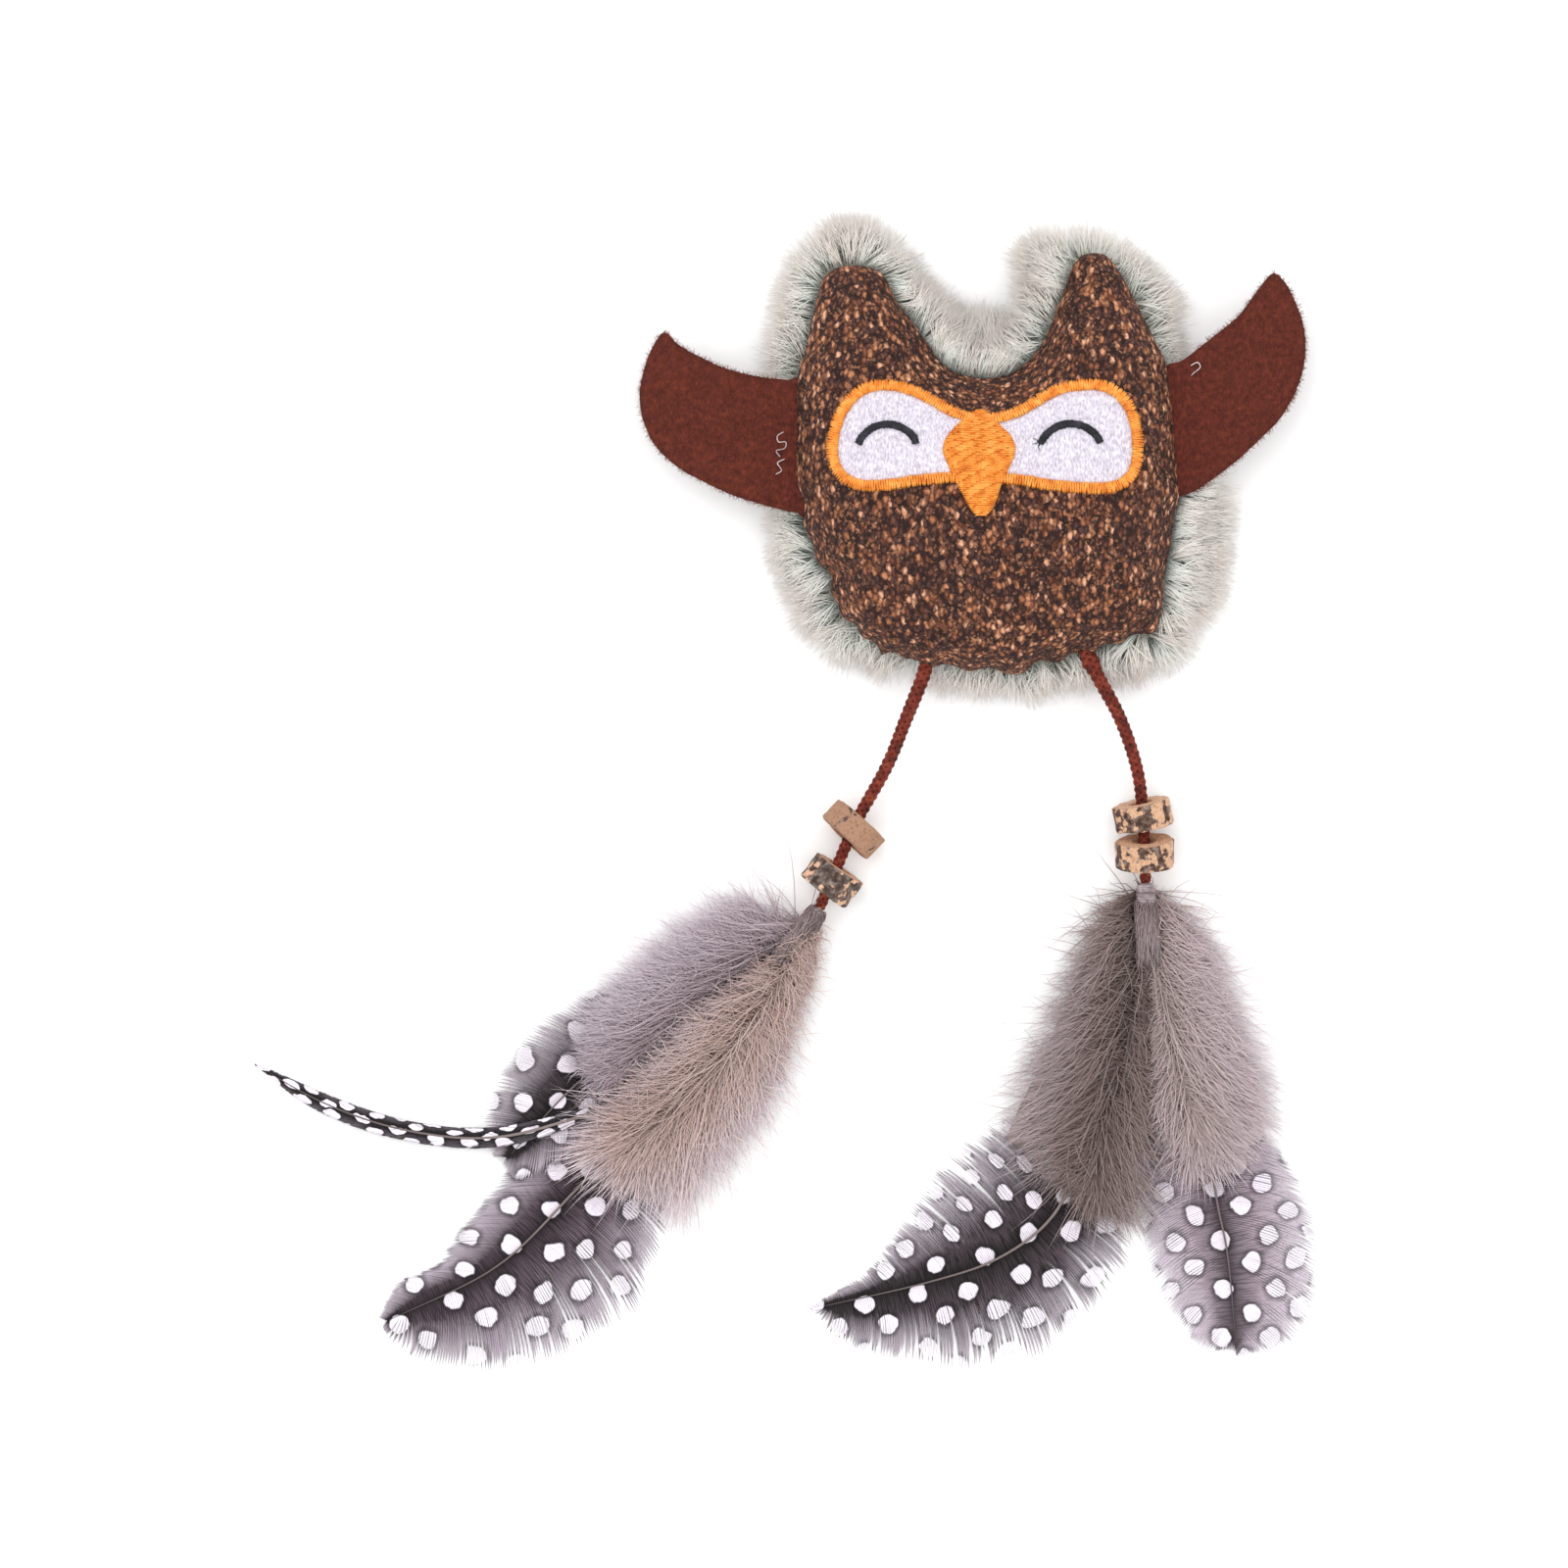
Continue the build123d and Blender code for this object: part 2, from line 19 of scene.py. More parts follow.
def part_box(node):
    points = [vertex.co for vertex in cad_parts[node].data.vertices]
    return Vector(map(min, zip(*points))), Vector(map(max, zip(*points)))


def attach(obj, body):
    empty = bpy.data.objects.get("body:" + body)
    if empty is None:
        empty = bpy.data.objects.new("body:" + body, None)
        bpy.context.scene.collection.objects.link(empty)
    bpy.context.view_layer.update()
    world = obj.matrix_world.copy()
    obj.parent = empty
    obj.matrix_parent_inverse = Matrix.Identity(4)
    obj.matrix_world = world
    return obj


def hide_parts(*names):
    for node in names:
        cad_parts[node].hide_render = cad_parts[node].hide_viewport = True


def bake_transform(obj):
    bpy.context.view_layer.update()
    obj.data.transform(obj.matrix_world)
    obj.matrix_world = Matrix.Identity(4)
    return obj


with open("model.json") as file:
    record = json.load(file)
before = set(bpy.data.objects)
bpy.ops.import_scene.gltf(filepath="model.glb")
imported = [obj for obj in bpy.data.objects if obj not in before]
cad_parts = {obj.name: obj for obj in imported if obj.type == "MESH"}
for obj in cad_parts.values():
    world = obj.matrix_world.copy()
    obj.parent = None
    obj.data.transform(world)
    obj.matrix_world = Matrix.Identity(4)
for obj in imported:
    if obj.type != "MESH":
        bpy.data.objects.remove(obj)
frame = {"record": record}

logging.basicConfig(level=logging.INFO, format="%(message)s")
log = logging.getLogger("owl")

MM = 0.001
Array = np.ndarray
Random = np.random.Generator
Tree = bpy.types.NodeTree
Socket = bpy.types.NodeSocket
Object = bpy.types.Object


class Side(StrEnum):
    """A side of the owl, as the viewer sees it."""

    LEFT = "left"
    RIGHT = "right"


# --- Colour and material helpers ---------------------------------------------------------------


def srgb(code: str) -> tuple:
    """Turns an sRGB hex colour into linear RGBA.

    Args:
        code: six hex digits.

    Returns:
        Four linear values.
    """
    parts = [int(code[i : i + 2], 16) / 255 for i in (0, 2, 4)]
    linear = [c / 12.92 if c <= 0.04045 else ((c + 0.055) / 1.055) ** 2.4 for c in parts]
    return (*linear, 1.0)


def add(tree: Tree, kind: str, settings: dict | None = None, **inputs: object) -> bpy.types.Node:
    """Adds a shader node with its settings and links.

    Args:
        tree: the material's node tree.
        kind: the node's type name, without ShaderNode.
        settings: properties of the node.
        inputs: values or output sockets, by input name with _ for a space, or by iN for input N.

    Returns:
        The new node.
    """
    made = tree.nodes.new("ShaderNode" + kind)
    for name, value in (settings or {}).items():
        setattr(made, name, value)
    for name, value in inputs.items():
        socket = made.inputs[int(name[1:])] if name[1:].isdigit() else made.inputs[name.replace("_", " ")]
        if isinstance(value, Socket):
            tree.links.new(value, socket)
        else:
            socket.default_value = value
    return made


def ramp(tree: Tree, factor: Socket, stops: Sequence[tuple], interpolation: str = "LINEAR") -> Socket:
    """Adds a colour ramp.

    Args:
        tree: the material's node tree.
        factor: what drives the ramp.
        stops: (place, hex colour) pairs in order.
        interpolation: how colours run between stops.

    Returns:
        The ramp's colour socket.
    """
    made = add(tree, "ValToRGB", i0=factor)
    made.color_ramp.interpolation = interpolation
    elements = made.color_ramp.elements
    while len(elements) < len(stops):
        elements.new(0.5)
    for element, (place, code) in zip(elements, stops):
        element.position = place
        element.color = srgb(code)
    return made.outputs[0]


def mix(tree: Tree, factor: object, a: object, b: object, blend: str = "MIX") -> Socket:
    """Mixes two colours.

    Args:
        tree: the material's node tree.
        factor: share of b, a number or a socket.
        a: first colour, a hex code or a socket.
        b: second colour, a hex code or a socket.
        blend: the blend type.

    Returns:
        The mixed colour socket.
    """
    sides = [srgb(side) if isinstance(side, str) else side for side in (a, b)]
    made = add(tree, "Mix", {"data_type": "RGBA", "blend_type": blend}, i0=factor, i6=sides[0], i7=sides[1])
    return made.outputs[2]


@dataclass(frozen=True)
class Finish:
    """A finish: its name, and the shader values that are the same all over."""

    name: str
    roughness: float = 0.9
    sheen: float = 0.0
    specular: float = 0.3
    bump_mm: float = 0.1

    def paint(self, tree: Tree) -> tuple:
        """Adds the finish's pattern.

        Args:
            tree: the material's node tree.

        Returns:
            The colour socket, and the bump's height socket or None.
        """
        raise NotImplementedError

    def make(self) -> bpy.types.Material:
        """Builds the material.

        Returns:
            The material, made once for each name.
        """
        title = "studio_" + self.name
        if title in bpy.data.materials:
            return bpy.data.materials[title]
        material = bpy.data.materials.new(title)
        material.use_nodes = True
        tree = material.node_tree
        shader = tree.nodes["Principled BSDF"]
        shader.inputs["Roughness"].default_value = self.roughness
        shader.inputs["Specular IOR Level"].default_value = self.specular
        shader.inputs["Sheen Weight"].default_value = self.sheen
        shader.inputs["Sheen Roughness"].default_value = 0.4
        colour, height = self.paint(tree)
        tree.links.new(colour, shader.inputs["Base Color"])
        if height is not None:
            lift = add(tree, "Bump", Strength=0.9, Distance=self.bump_mm * MM, Height=height)
            tree.links.new(lift.outputs[0], shader.inputs["Normal"])
        return material


def place_of(tree: Tree) -> Socket:
    """Returns the piece's own object coordinates."""
    return add(tree, "TexCoord").outputs["Object"]


def attribute(tree: Tree, name: str) -> bpy.types.Node:
    """Returns a node that reads an attribute of the piece's mesh."""
    return add(tree, "Attribute", {"attribute_name": name})


def grain(tree: Tree, where: Socket, size_mm: float, detail: float = 3.0) -> Socket:
    """Returns noise whose features are about size_mm across."""
    made = add(tree, "TexNoise", Vector=where, Scale=1 / (size_mm * MM), Detail=detail)
    return made.outputs[0]


def stretched(tree: Tree, where: Socket, scale: tuple) -> Socket:
    """Returns coordinates scaled along each axis."""
    return add(tree, "Mapping", Vector=where, Scale=scale).outputs[0]


@dataclass(frozen=True)
class PrintedCloth(Finish):
    """Plain-woven cotton printed with a cork-like fleck: dark brown with tan and peach chips about
    1 mm long, over a fine weave that only shows as a slight tooth."""

    bump_mm: float = 0.07
    fleck_mm: float = 0.8
    speck_mm: float = 0.42
    wobble_mm: float = 1.3
    thread_mm: float = 0.45

    def paint(self, tree: Tree) -> tuple:
        """Adds the flecks and the weave."""
        where = place_of(tree)
        wobble = add(tree, "TexNoise", Vector=where, Scale=1 / (self.wobble_mm * MM), Detail=2.0)
        moved = add(tree, "VectorMath", {"operation": "MULTIPLY_ADD"}, i0=wobble.outputs[1],
                    i1=(1.1 * MM,) * 3, i2=where)
        tall = stretched(tree, moved.outputs[0], (1.0, 0.62, 1.0))
        chips = add(tree, "TexVoronoi", {"feature": "F1"}, Vector=tall, Scale=1 / (self.fleck_mm * MM))
        pick = add(tree, "SeparateColor", i0=chips.outputs["Color"])
        chip_shades = [(0.0, "452b27"), (0.40, "553730"), (0.56, "653f33"), (0.66, "814f3a"),
                       (0.78, "a06747"), (0.88, "c08460"), (0.96, "dba585")]
        body = ramp(tree, pick.outputs[0], chip_shades)
        edge = add(tree, "Math", {"operation": "SMOOTH_MAX"}, i0=chips.outputs["Distance"], i1=0.0, i2=0.1)
        shade = ramp(tree, edge.outputs[0], [(0.24, "ffffff"), (0.56, "6a524b")])
        flecks = mix(tree, 0.85, body, shade, "MULTIPLY")
        fine = add(tree, "TexVoronoi", {"feature": "F1"}, Vector=where, Scale=1 / (self.speck_mm * MM))
        specks = add(tree, "SeparateColor", i0=fine.outputs["Color"])
        speck_shades = [(0.0, "000000"), (0.84, "000000"), (0.92, "8a5a3c"), (1.0, "b98560")]
        dust = ramp(tree, specks.outputs[1], speck_shades)
        colour = mix(tree, 0.45, flecks, dust, "SCREEN")
        waves = 0.314 / (self.thread_mm * MM)  # a wave texture at scale 1 repeats every 0.314
        across = add(tree, "TexWave", {"bands_direction": "X"}, Vector=where, Scale=waves)
        along = add(tree, "TexWave", {"bands_direction": "Y"}, Vector=where, Scale=waves)
        weave = add(tree, "Math", {"operation": "MAXIMUM"}, i0=across.outputs[1], i1=along.outputs[1])
        return colour, weave.outputs[0]


@dataclass(frozen=True)
class Felt(Finish):
    """Needled wool felt: matted fibres that mottle the colour at about 0.9 mm, with a dry fuzz."""

    bump_mm: float = 0.22
    base: str = "62291d"
    dark: str = "532218"
    light: str = "733222"

    def paint(self, tree: Tree) -> tuple:
        """Adds the matted fibres."""
        where = place_of(tree)
        clumps = grain(tree, where, 0.9, 4.0)
        fibres = grain(tree, stretched(tree, where, (1.0, 0.35, 1.0)), 0.28, 5.0)
        colour = ramp(tree, clumps, [(0.34, self.dark), (0.52, self.base), (0.70, self.light)])
        dry = ramp(tree, fibres, [(0.35, "8c8080"), (0.65, "ffffff")])
        return mix(tree, 0.55, colour, dry, "MULTIPLY"), fibres


@dataclass(frozen=True)
class Thread(Finish):
    """Twisted embroidery or sewing thread: a soft gloss with slight changes from stitch to stitch."""

    bump_mm: float = 0.06
    base: str = "f79a38"
    dark: str = "d9761c"
    light: str = "ffb95a"

    def paint(self, tree: Tree) -> tuple:
        """Adds the changes of shade and the thread's twist."""
        where = place_of(tree)
        shades = [(0.30, self.dark), (0.50, self.base), (0.72, self.light)]
        shade = ramp(tree, grain(tree, where, 1.6, 3.0), shades)
        twist = grain(tree, where, 0.16, 2.0)
        fibre = ramp(tree, twist, [(0.3, "c9c0b8"), (0.6, "ffffff")])
        return mix(tree, 0.6, shade, fibre, "MULTIPLY"), twist


@dataclass(frozen=True)
class Fibre(Finish):
    """Loose fibres, such as plush pile or down. Each strand holds its place from root to tip and
    its own share of a second shade, because neighbouring fibres differ. Where the root colour is
    darker than the tip, as in the pile and the down, it is painted shade deep among the fibres."""

    root: str = "b9c0b9"
    middle: str = "d5d6d0"
    tip: str = "e6ddd6"
    odd: str = "c9b9ae"

    def paint(self, tree: Tree) -> tuple:
        """Adds the root-to-tip shade and the difference between strands."""
        strand = attribute(tree, "strand")
        parts = add(tree, "SeparateXYZ", i0=strand.outputs["Vector"])
        # Root-to-tip colour; a root darker than the tip is painted shade among the fibres.
        along = ramp(tree, parts.outputs[0], [(0.0, self.root), (0.45, self.middle), (1.0, self.tip)])
        share = add(tree, "Math", {"operation": "MULTIPLY"}, i0=parts.outputs[1], i1=0.65)
        return mix(tree, share.outputs[0], along, self.odd), None


@dataclass(frozen=True)
class SpottedVane(Finish):
    """A guinea fowl's feather: close barbs barred with fine lines, round white spots about 3.2 mm
    across in staggered rows, darkest round the spots and along the shaft, paler at the edge."""

    bump_mm: float = 0.06
    dark: str = "2b2529"
    ground: str = "5d5359"
    edge: str = "b3a7b4"
    spot: str = "efe7f1"
    spacing_mm: float = 7.0
    spot_share: float = 0.25
    fade: float = 0.75
    slant: tuple = (1.0, 1.0, 1.0)

    def paint(self, tree: Tree) -> tuple:
        """Adds the spots, the barb lines and the pale edge."""
        lie = attribute(tree, "lie")
        parts = add(tree, "SeparateXYZ", i0=lie.outputs["Vector"])
        rows = add(tree, "CombineXYZ", i0=parts.outputs[0], i1=parts.outputs[1], i2=0.0)
        uneven = add(tree, "TexNoise", Vector=rows.outputs[0], Scale=0.35, Detail=2.0)
        bent = add(tree, "VectorMath", {"operation": "MULTIPLY_ADD"}, i0=uneven.outputs[1],
                   i1=(1.7, 1.7, 0.0), i2=rows.outputs[0])
        slanted = stretched(tree, bent.outputs[0], self.slant)
        turned = add(tree, "Mapping", Vector=slanted, Rotation=(0.0, 0.0, math.radians(40)))
        spots = add(tree, "TexVoronoi", {"feature": "F1", "voronoi_dimensions": "2D"},
                    Vector=turned.outputs[0], Scale=1 / self.spacing_mm, Randomness=0.3)
        drawn = stretched(tree, rows.outputs[0], (0.25, 5.0, 1.0))
        lines = add(tree, "TexNoise", Vector=drawn, Scale=1.0, Detail=2.0)
        ground = ramp(tree, lines.outputs[0], [(0.36, self.dark), (0.56, self.ground)])
        near = add(tree, "Math", {"operation": "ABSOLUTE"}, i0=parts.outputs[0])
        shaft = ramp(tree, add(tree, "MapRange", i0=near.outputs[0], i1=0.0, i2=5.0).outputs[0],
                     [(0.0, "55504f"), (1.0, "ffffff")])
        ground = mix(tree, 0.9, ground, shaft, "MULTIPLY")
        rim = add(tree, "MapRange", i0=parts.outputs[2], i1=0.35, i2=1.0, i3=0.0, i4=self.fade)
        ground = mix(tree, rim.outputs[0], ground, self.edge)
        away, share = spots.outputs["Distance"], self.spot_share
        halo = ramp(tree, away, [(share, "3a3338"), (share + 0.16, "ffffff")])
        ground = mix(tree, 0.75, ground, halo, "MULTIPLY")
        dots = ramp(tree, away, [(share - 0.02, "ffffff"), (share + 0.015, "000000")])
        return mix(tree, dots, ground, self.spot), lines.outputs[0]


@dataclass(frozen=True)
class BranchWood(Finish):
    """A slice sawn from a thin branch: pale wood with faint rings and a sawn tooth, and flaking
    brown bark left on the rim, which each slice's own bark attribute places."""

    bump_mm: float = 0.12
    wood: str = "bf9678"
    pale: str = "dbb292"
    bark: str = "5b4238"
    bark_grey: str = "86766c"
    bare: float = 0.5

    def paint(self, tree: Tree) -> tuple:
        """Adds the rings, the saw marks and the bark."""
        where = place_of(tree)
        cut = attribute(tree, "cut")
        parts = add(tree, "SeparateXYZ", i0=cut.outputs["Vector"])
        radius = add(tree, "CombineXYZ", i0=parts.outputs[1]).outputs[0]
        rings = add(tree, "TexNoise", Vector=radius, Scale=2.4, Detail=3.0)
        fleck = grain(tree, where, 0.5, 4.0)
        face = ramp(tree, rings.outputs[0], [(0.35, self.wood), (0.62, self.pale)])
        tooth = ramp(tree, fleck, [(0.30, "b89a83"), (0.52, "ffffff")])
        face = mix(tree, 0.6, face, tooth, "MULTIPLY")
        flaky = grain(tree, where, 1.1, 5.0)
        skin = ramp(tree, flaky, [(0.38, "3d2b25"), (0.50, self.bark), (0.66, self.bark_grey)])
        arc = add(tree, "CombineXYZ", i0=parts.outputs[2]).outputs[0]
        around = add(tree, "TexNoise", Vector=arc, Scale=0.36, Detail=1.5)
        patch = mix(tree, 0.5, around.outputs[0], grain(tree, where, 1.5, 4.0))
        left = ramp(tree, patch, [(self.bare - 0.015, "000000"), (self.bare + 0.015, "ffffff")])
        rim = add(tree, "Math", {"operation": "MULTIPLY"}, i0=parts.outputs[0], i1=left)
        return mix(tree, rim.outputs[0], face, skin), fleck


class Paper(Finish):
    """Matt studio paper."""

    def paint(self, tree: Tree) -> tuple:
        """Adds a barely seen fibre."""
        return ramp(tree, grain(tree, place_of(tree), 2.0, 2.0), [(0.3, "fcfcfc"), (0.7, "fefefe")]), None


CLOTH = PrintedCloth("printed_cotton", roughness=0.85)
BACKING = Felt("knitted_backing", base="b8b4ac", dark="a19d96", light="c8c4bd")
WHITE_FELT = Felt("white_felt", base="e9e3f0", dark="ded7e6", light="f3eff8", roughness=0.95)
BROWN_FELT = Felt("brown_felt", roughness=0.95)
ORANGE_THREAD = Thread("orange_rayon", roughness=0.5, specular=0.4)
DARK_THREAD = Thread("dark_rayon", base="24242c", dark="17171d", light="3c3c48", roughness=0.55)
PALE_THREAD = Thread("pale_polyester", base="cdbfc2", dark="a8999e", light="ebdfe2", roughness=0.5)
CORD_THREAD = Thread("braided_polyester", base="702618", dark="43150f", light="94452f", roughness=0.7)
TIE_THREAD = Thread("waxed_binding_thread", base="a3959a", dark="766a6d", light="d5cbd0", roughness=0.6)
# The pile's grey-green root colour is painted shade deep in the pile.
PILE = Fibre("plush_pile", root="bfc9c1", middle="eaede8", tip="faf2ed", odd="efe2d9", roughness=0.8)
FELT_FUZZ = Fibre("felt_fuzz", root="5a251b", middle="6b2d20", tip="7d3a2a", odd="8f5040")
# The downs' darker root colours are painted shade inside the down, on top of their own change of hue from
# root to tip.
WARM_DOWN = Fibre("warm_down", root="a98c7f", middle="cdb1a9", tip="f0e2e8", odd="dac8c7")
GREY_DOWN = Fibre("grey_down", root="988488", middle="c3b3bb", tip="eee3eb", odd="d5c6cd")
DARK_DOWN = Fibre("dark_down", root="4c3e3d", middle="8a7773", tip="d3c5cb", odd="b3a09b")
PALE_DOWN = Fibre("pale_down", root="a4918b", middle="c8b5b7", tip="eadee6", odd="d6c4c4")
NECK_FIBRE = Fibre("neck_fibre", root="6b5b5c", middle="807071", tip="b3a4a7", odd="a49392")
SHAFT = Fibre("feather_shaft", root="cbbdb4", middle="8a7c7a", tip="3b3336", odd="a39791")
DARK_VANE = SpottedVane("dark_spotted_vane", dark="231c1f", ground="564b51", edge="d6cad5",
                        spacing_mm=6.2, fade=0.8)
BROAD_VANE = SpottedVane("broad_spotted_vane", dark="3a2f35", ground="6b5c66", edge="cbbecb",
                         spacing_mm=6.6, fade=0.9)
PALE_VANE = SpottedVane("pale_spotted_vane", dark="7a6c75", ground="ab9ba6", edge="e0d4e0",
                        spacing_mm=6.0, spot_share=0.27, fade=0.9)
BARRED_VANE = SpottedVane("barred_vane", dark="262023", ground="4d444a", edge="d8ccd8", spacing_mm=2.3,
                          spot_share=0.33, fade=0.15, slant=(1.3, 0.5, 1.0))
WOOD = BranchWood("branch_slice", roughness=0.8, bare=0.485)
PEELED_WOOD = BranchWood("peeled_branch_slice", roughness=0.8, bare=0.60, wood="98735c", pale="b08a70")
GREY_WOOD = BranchWood("grey_branch_slice", bark="54453f", bark_grey="82766f", wood="c3967a",
                       pale="dcb294", roughness=0.8, bare=0.45)
PAPER = Paper("studio_paper", roughness=0.95)


# --- Mesh helpers ------------------------------------------------------------------------------


def select_only(obj: Object | None) -> None:
    """Selects one object alone and makes it active, or clears the selection."""
    bpy.ops.object.select_all(action="DESELECT")
    if obj is None:
        return
    obj.select_set(True)
    bpy.context.view_layer.objects.active = obj


def set_vectors(mesh: bpy.types.Mesh, name: str, values: Array) -> None:
    """Gives each point of a mesh a named vector, which a finish can read."""
    made = mesh.attributes.new(name, "FLOAT_VECTOR", "POINT")
    made.data.foreach_set("vector", np.asarray(values, np.float32).ravel())


def piece(name: str, vertices: Array, faces: Array | list, finish: Finish,
          attributes: dict | None = None) -> Object:
    """Makes a mesh object whose place is in its mesh.

    Args:
        name: the object's name.
        vertices: points in metres.
        faces: an array of triangles or quads, or a list of such arrays.
        finish: its finish.
        attributes: vectors for each point, by name.

    Returns:
        The object.
    """
    groups = [np.asarray(f) for f in (faces if isinstance(faces, list) else [faces]) if len(f)]
    loops = np.concatenate([g.ravel() for g in groups]).astype(np.int32)
    totals = np.concatenate([np.full(len(g), g.shape[1]) for g in groups]).astype(np.int32)
    starts = np.concatenate([[0], np.cumsum(totals)[:-1]]).astype(np.int32)
    mesh = bpy.data.meshes.new(name)
    mesh.vertices.add(len(vertices))
    mesh.vertices.foreach_set("co", np.asarray(vertices, np.float32).ravel())
    mesh.loops.add(len(loops))
    mesh.loops.foreach_set("vertex_index", loops)
    mesh.polygons.add(len(totals))
    mesh.polygons.foreach_set("loop_start", starts)
    mesh.update(calc_edges=True)
    mesh.validate()
    for key, values in (attributes or {}).items():
        set_vectors(mesh, key, values)
    mesh.shade_smooth()
    mesh.materials.append(finish.make())
    obj = bpy.data.objects.new(name, mesh)
    bpy.context.scene.collection.objects.link(obj)
    return obj


def run_along(line: Array) -> Array:
    """Returns each point's distance from the start, measured along the line."""
    return np.concatenate([[0], np.cumsum(np.linalg.norm(np.diff(line, axis=0), axis=1))])


def through(points: Array, steps: int) -> Array:
    """Runs a Catmull-Rom curve through points.

    Args:
        points: one point before the curve's start, the points that it passes, and one after its end.
        steps: how many points each span gets.

    Returns:
        The curve's points, without its last end.
    """
    t = np.linspace(0, 1, steps, endpoint=False)[:, None]
    spans = []
    for a, b, c, d in zip(points, points[1:], points[2:], points[3:]):
        square, cube = 2 * a - 5 * b + 4 * c - d, 3 * b - a - 3 * c + d
        spans.append(0.5 * (2 * b + (c - a) * t + square * t**2 + cube * t**3))
    return np.vstack(spans)


def smooth_loop(points: Sequence[tuple], spacing: float) -> Array:
    """Runs a smooth closed curve through points.

    Args:
        points: corners in order, in millimetres.
        spacing: distance between the points returned, in millimetres.

    Returns:
        Evenly spaced points in metres.
    """
    p = np.asarray(points, float)
    dense = through(np.vstack([p[-1:], p, p[:2]]), 24)
    return even(np.vstack([dense, dense[:1]]), spacing)[:-1] * MM


def even(points: Array, spacing: float) -> Array:
    """Returns points spread evenly along a line of points, both ends kept."""
    run = run_along(points)
    count = max(int(round(run[-1] / spacing)), 2)
    at = np.linspace(0, run[-1], count + 1)
    return np.column_stack([np.interp(at, run, points[:, k]) for k in range(points.shape[1])])


def smooth_line(points: Array, spacing: float) -> Array:
    """Returns a smooth open line through points, evenly spaced."""
    p = np.asarray(points, float)
    p = np.vstack([2 * p[0] - p[1], p, 2 * p[-1] - p[-2]])
    return even(np.vstack([through(p, 16), p[-2]]), spacing)


def edge_distance(points: Array, loop: Array) -> Array:
    """Returns each point's distance to a closed loop, in the loop's units."""
    best = np.full(len(points), np.inf)
    for a, b in zip(loop, np.roll(loop, -1, axis=0)):
        ab = b - a
        share = np.clip(((points - a) @ ab) / max(ab @ ab, 1e-18), 0, 1)
        best = np.minimum(best, np.linalg.norm(points - (a + share[:, None] * ab), axis=1))
    return best


def inside(points: Array, loop: Array) -> Array:
    """Returns which points lie inside a closed loop."""
    x, y = points[:, 0], points[:, 1]
    odd = np.zeros(len(points), bool)
    for (ax, ay), (bx, by) in zip(loop, np.roll(loop, -1, axis=0)):
        crosses = (ay > y) != (by > y)
        with np.errstate(divide="ignore", invalid="ignore"):
            odd ^= crosses & (x < (bx - ax) * (y - ay) / (by - ay) + ax)
    return odd


def filled(loop: Array, spacing: float, seed: int = 1) -> tuple:
    """Fills a closed loop with even triangles.

    Args:
        loop: the loop's points in metres.
        spacing: the triangles' size in metres.
        seed: for the small jitter of the inner points.

    Returns:
        (points, triangles, count of loop points, which come first).
    """
    rng = np.random.default_rng(seed)
    low, high = loop.min(0), loop.max(0)
    xs = np.arange(low[0], high[0], spacing)
    ys = np.arange(low[1], high[1], spacing * math.sqrt(3) / 2)
    grid = np.array([(x + (j % 2) * spacing / 2, y) for j, y in enumerate(ys) for x in xs])
    grid = grid + rng.uniform(-0.08, 0.08, grid.shape) * spacing
    grid = grid[inside(grid, loop)]
    grid = grid[edge_distance(grid, loop) > spacing * 0.55]
    points = np.vstack([loop, grid])
    count = len(loop)
    edges = [(i, (i + 1) % count) for i in range(count)]
    out, _, tris, *_ = delaunay_2d_cdt([Vector(p) for p in points], edges, [list(range(count))], 1, 1e-9)
    flat = np.array([v[:] for v in out])
    tris = np.array([t for t in tris if len(t) == 3])
    a, b, c = flat[tris[:, 0]], flat[tris[:, 1]], flat[tris[:, 2]]
    area = (b[:, 0] - a[:, 0]) * (c[:, 1] - a[:, 1]) - (b[:, 1] - a[:, 1]) * (c[:, 0] - a[:, 0])
    tris[area < 0] = tris[area < 0][:, ::-1]
    return flat, tris, count


def rim_of(tris: Array) -> Array:
    """Returns the directed edges that only one triangle has."""
    edges = np.vstack([tris[:, [0, 1]], tris[:, [1, 2]], tris[:, [2, 0]]])
    seen = {tuple(e) for e in edges.tolist()}
    return np.array([e for e in edges.tolist() if (e[1], e[0]) not in seen])


def plate(top: Array, bottom: Array, tris: Array) -> tuple:
    """Closes two sheets with the same triangles into a plate.

    Args:
        top: the upper sheet's points.
        bottom: the lower sheet's points.
        tris: the triangles of either.

    Returns:
        (vertices, faces).
    """
    rim = rim_of(tris)
    count = len(top)
    wall = np.column_stack([rim[:, 1], rim[:, 0], rim[:, 0] + count, rim[:, 1] + count])
    return np.vstack([top, bottom]), [tris, tris[:, ::-1] + count, wall]


def slab(loop: Array, spacing: float, bottom: Callable, top: Callable) -> tuple:
    """Makes a closed plate between two heights over a loop.

    Args:
        loop: outline in metres.
        spacing: the triangles' size.
        bottom: gives the lower height from the points and their distance to the edge.
        top: gives the upper height in the same way.

    Returns:
        (vertices, faces).
    """
    flat, tris, _ = filled(loop, spacing)
    away = edge_distance(flat, loop)
    return plate(np.column_stack([flat, top(flat, away)]), np.column_stack([flat, bottom(flat, away)]), tris)


def rounded(away: Array, radius: float) -> Array:
    """Returns 0 at an edge rising on a quarter circle to 1 at radius."""
    return np.sqrt(1 - (1 - np.clip(away / radius, 0, 1)) ** 2)


def unit(v: Array) -> Array:
    """Returns vectors scaled to length 1."""
    return v / np.maximum(np.linalg.norm(v, axis=-1, keepdims=True), 1e-12)


def ways_along(line: Array, closed: bool = False) -> Array:
    """Returns the direction of a line, or of a ring, at each of its points."""
    return unit(np.roll(line, -1, 0) - np.roll(line, 1, 0)) if closed else unit(np.gradient(line, axis=0))


def leftward(ways: Array) -> Array:
    """Returns plan directions turned a quarter to the left."""
    return np.column_stack([-ways[:, 1], ways[:, 0]])


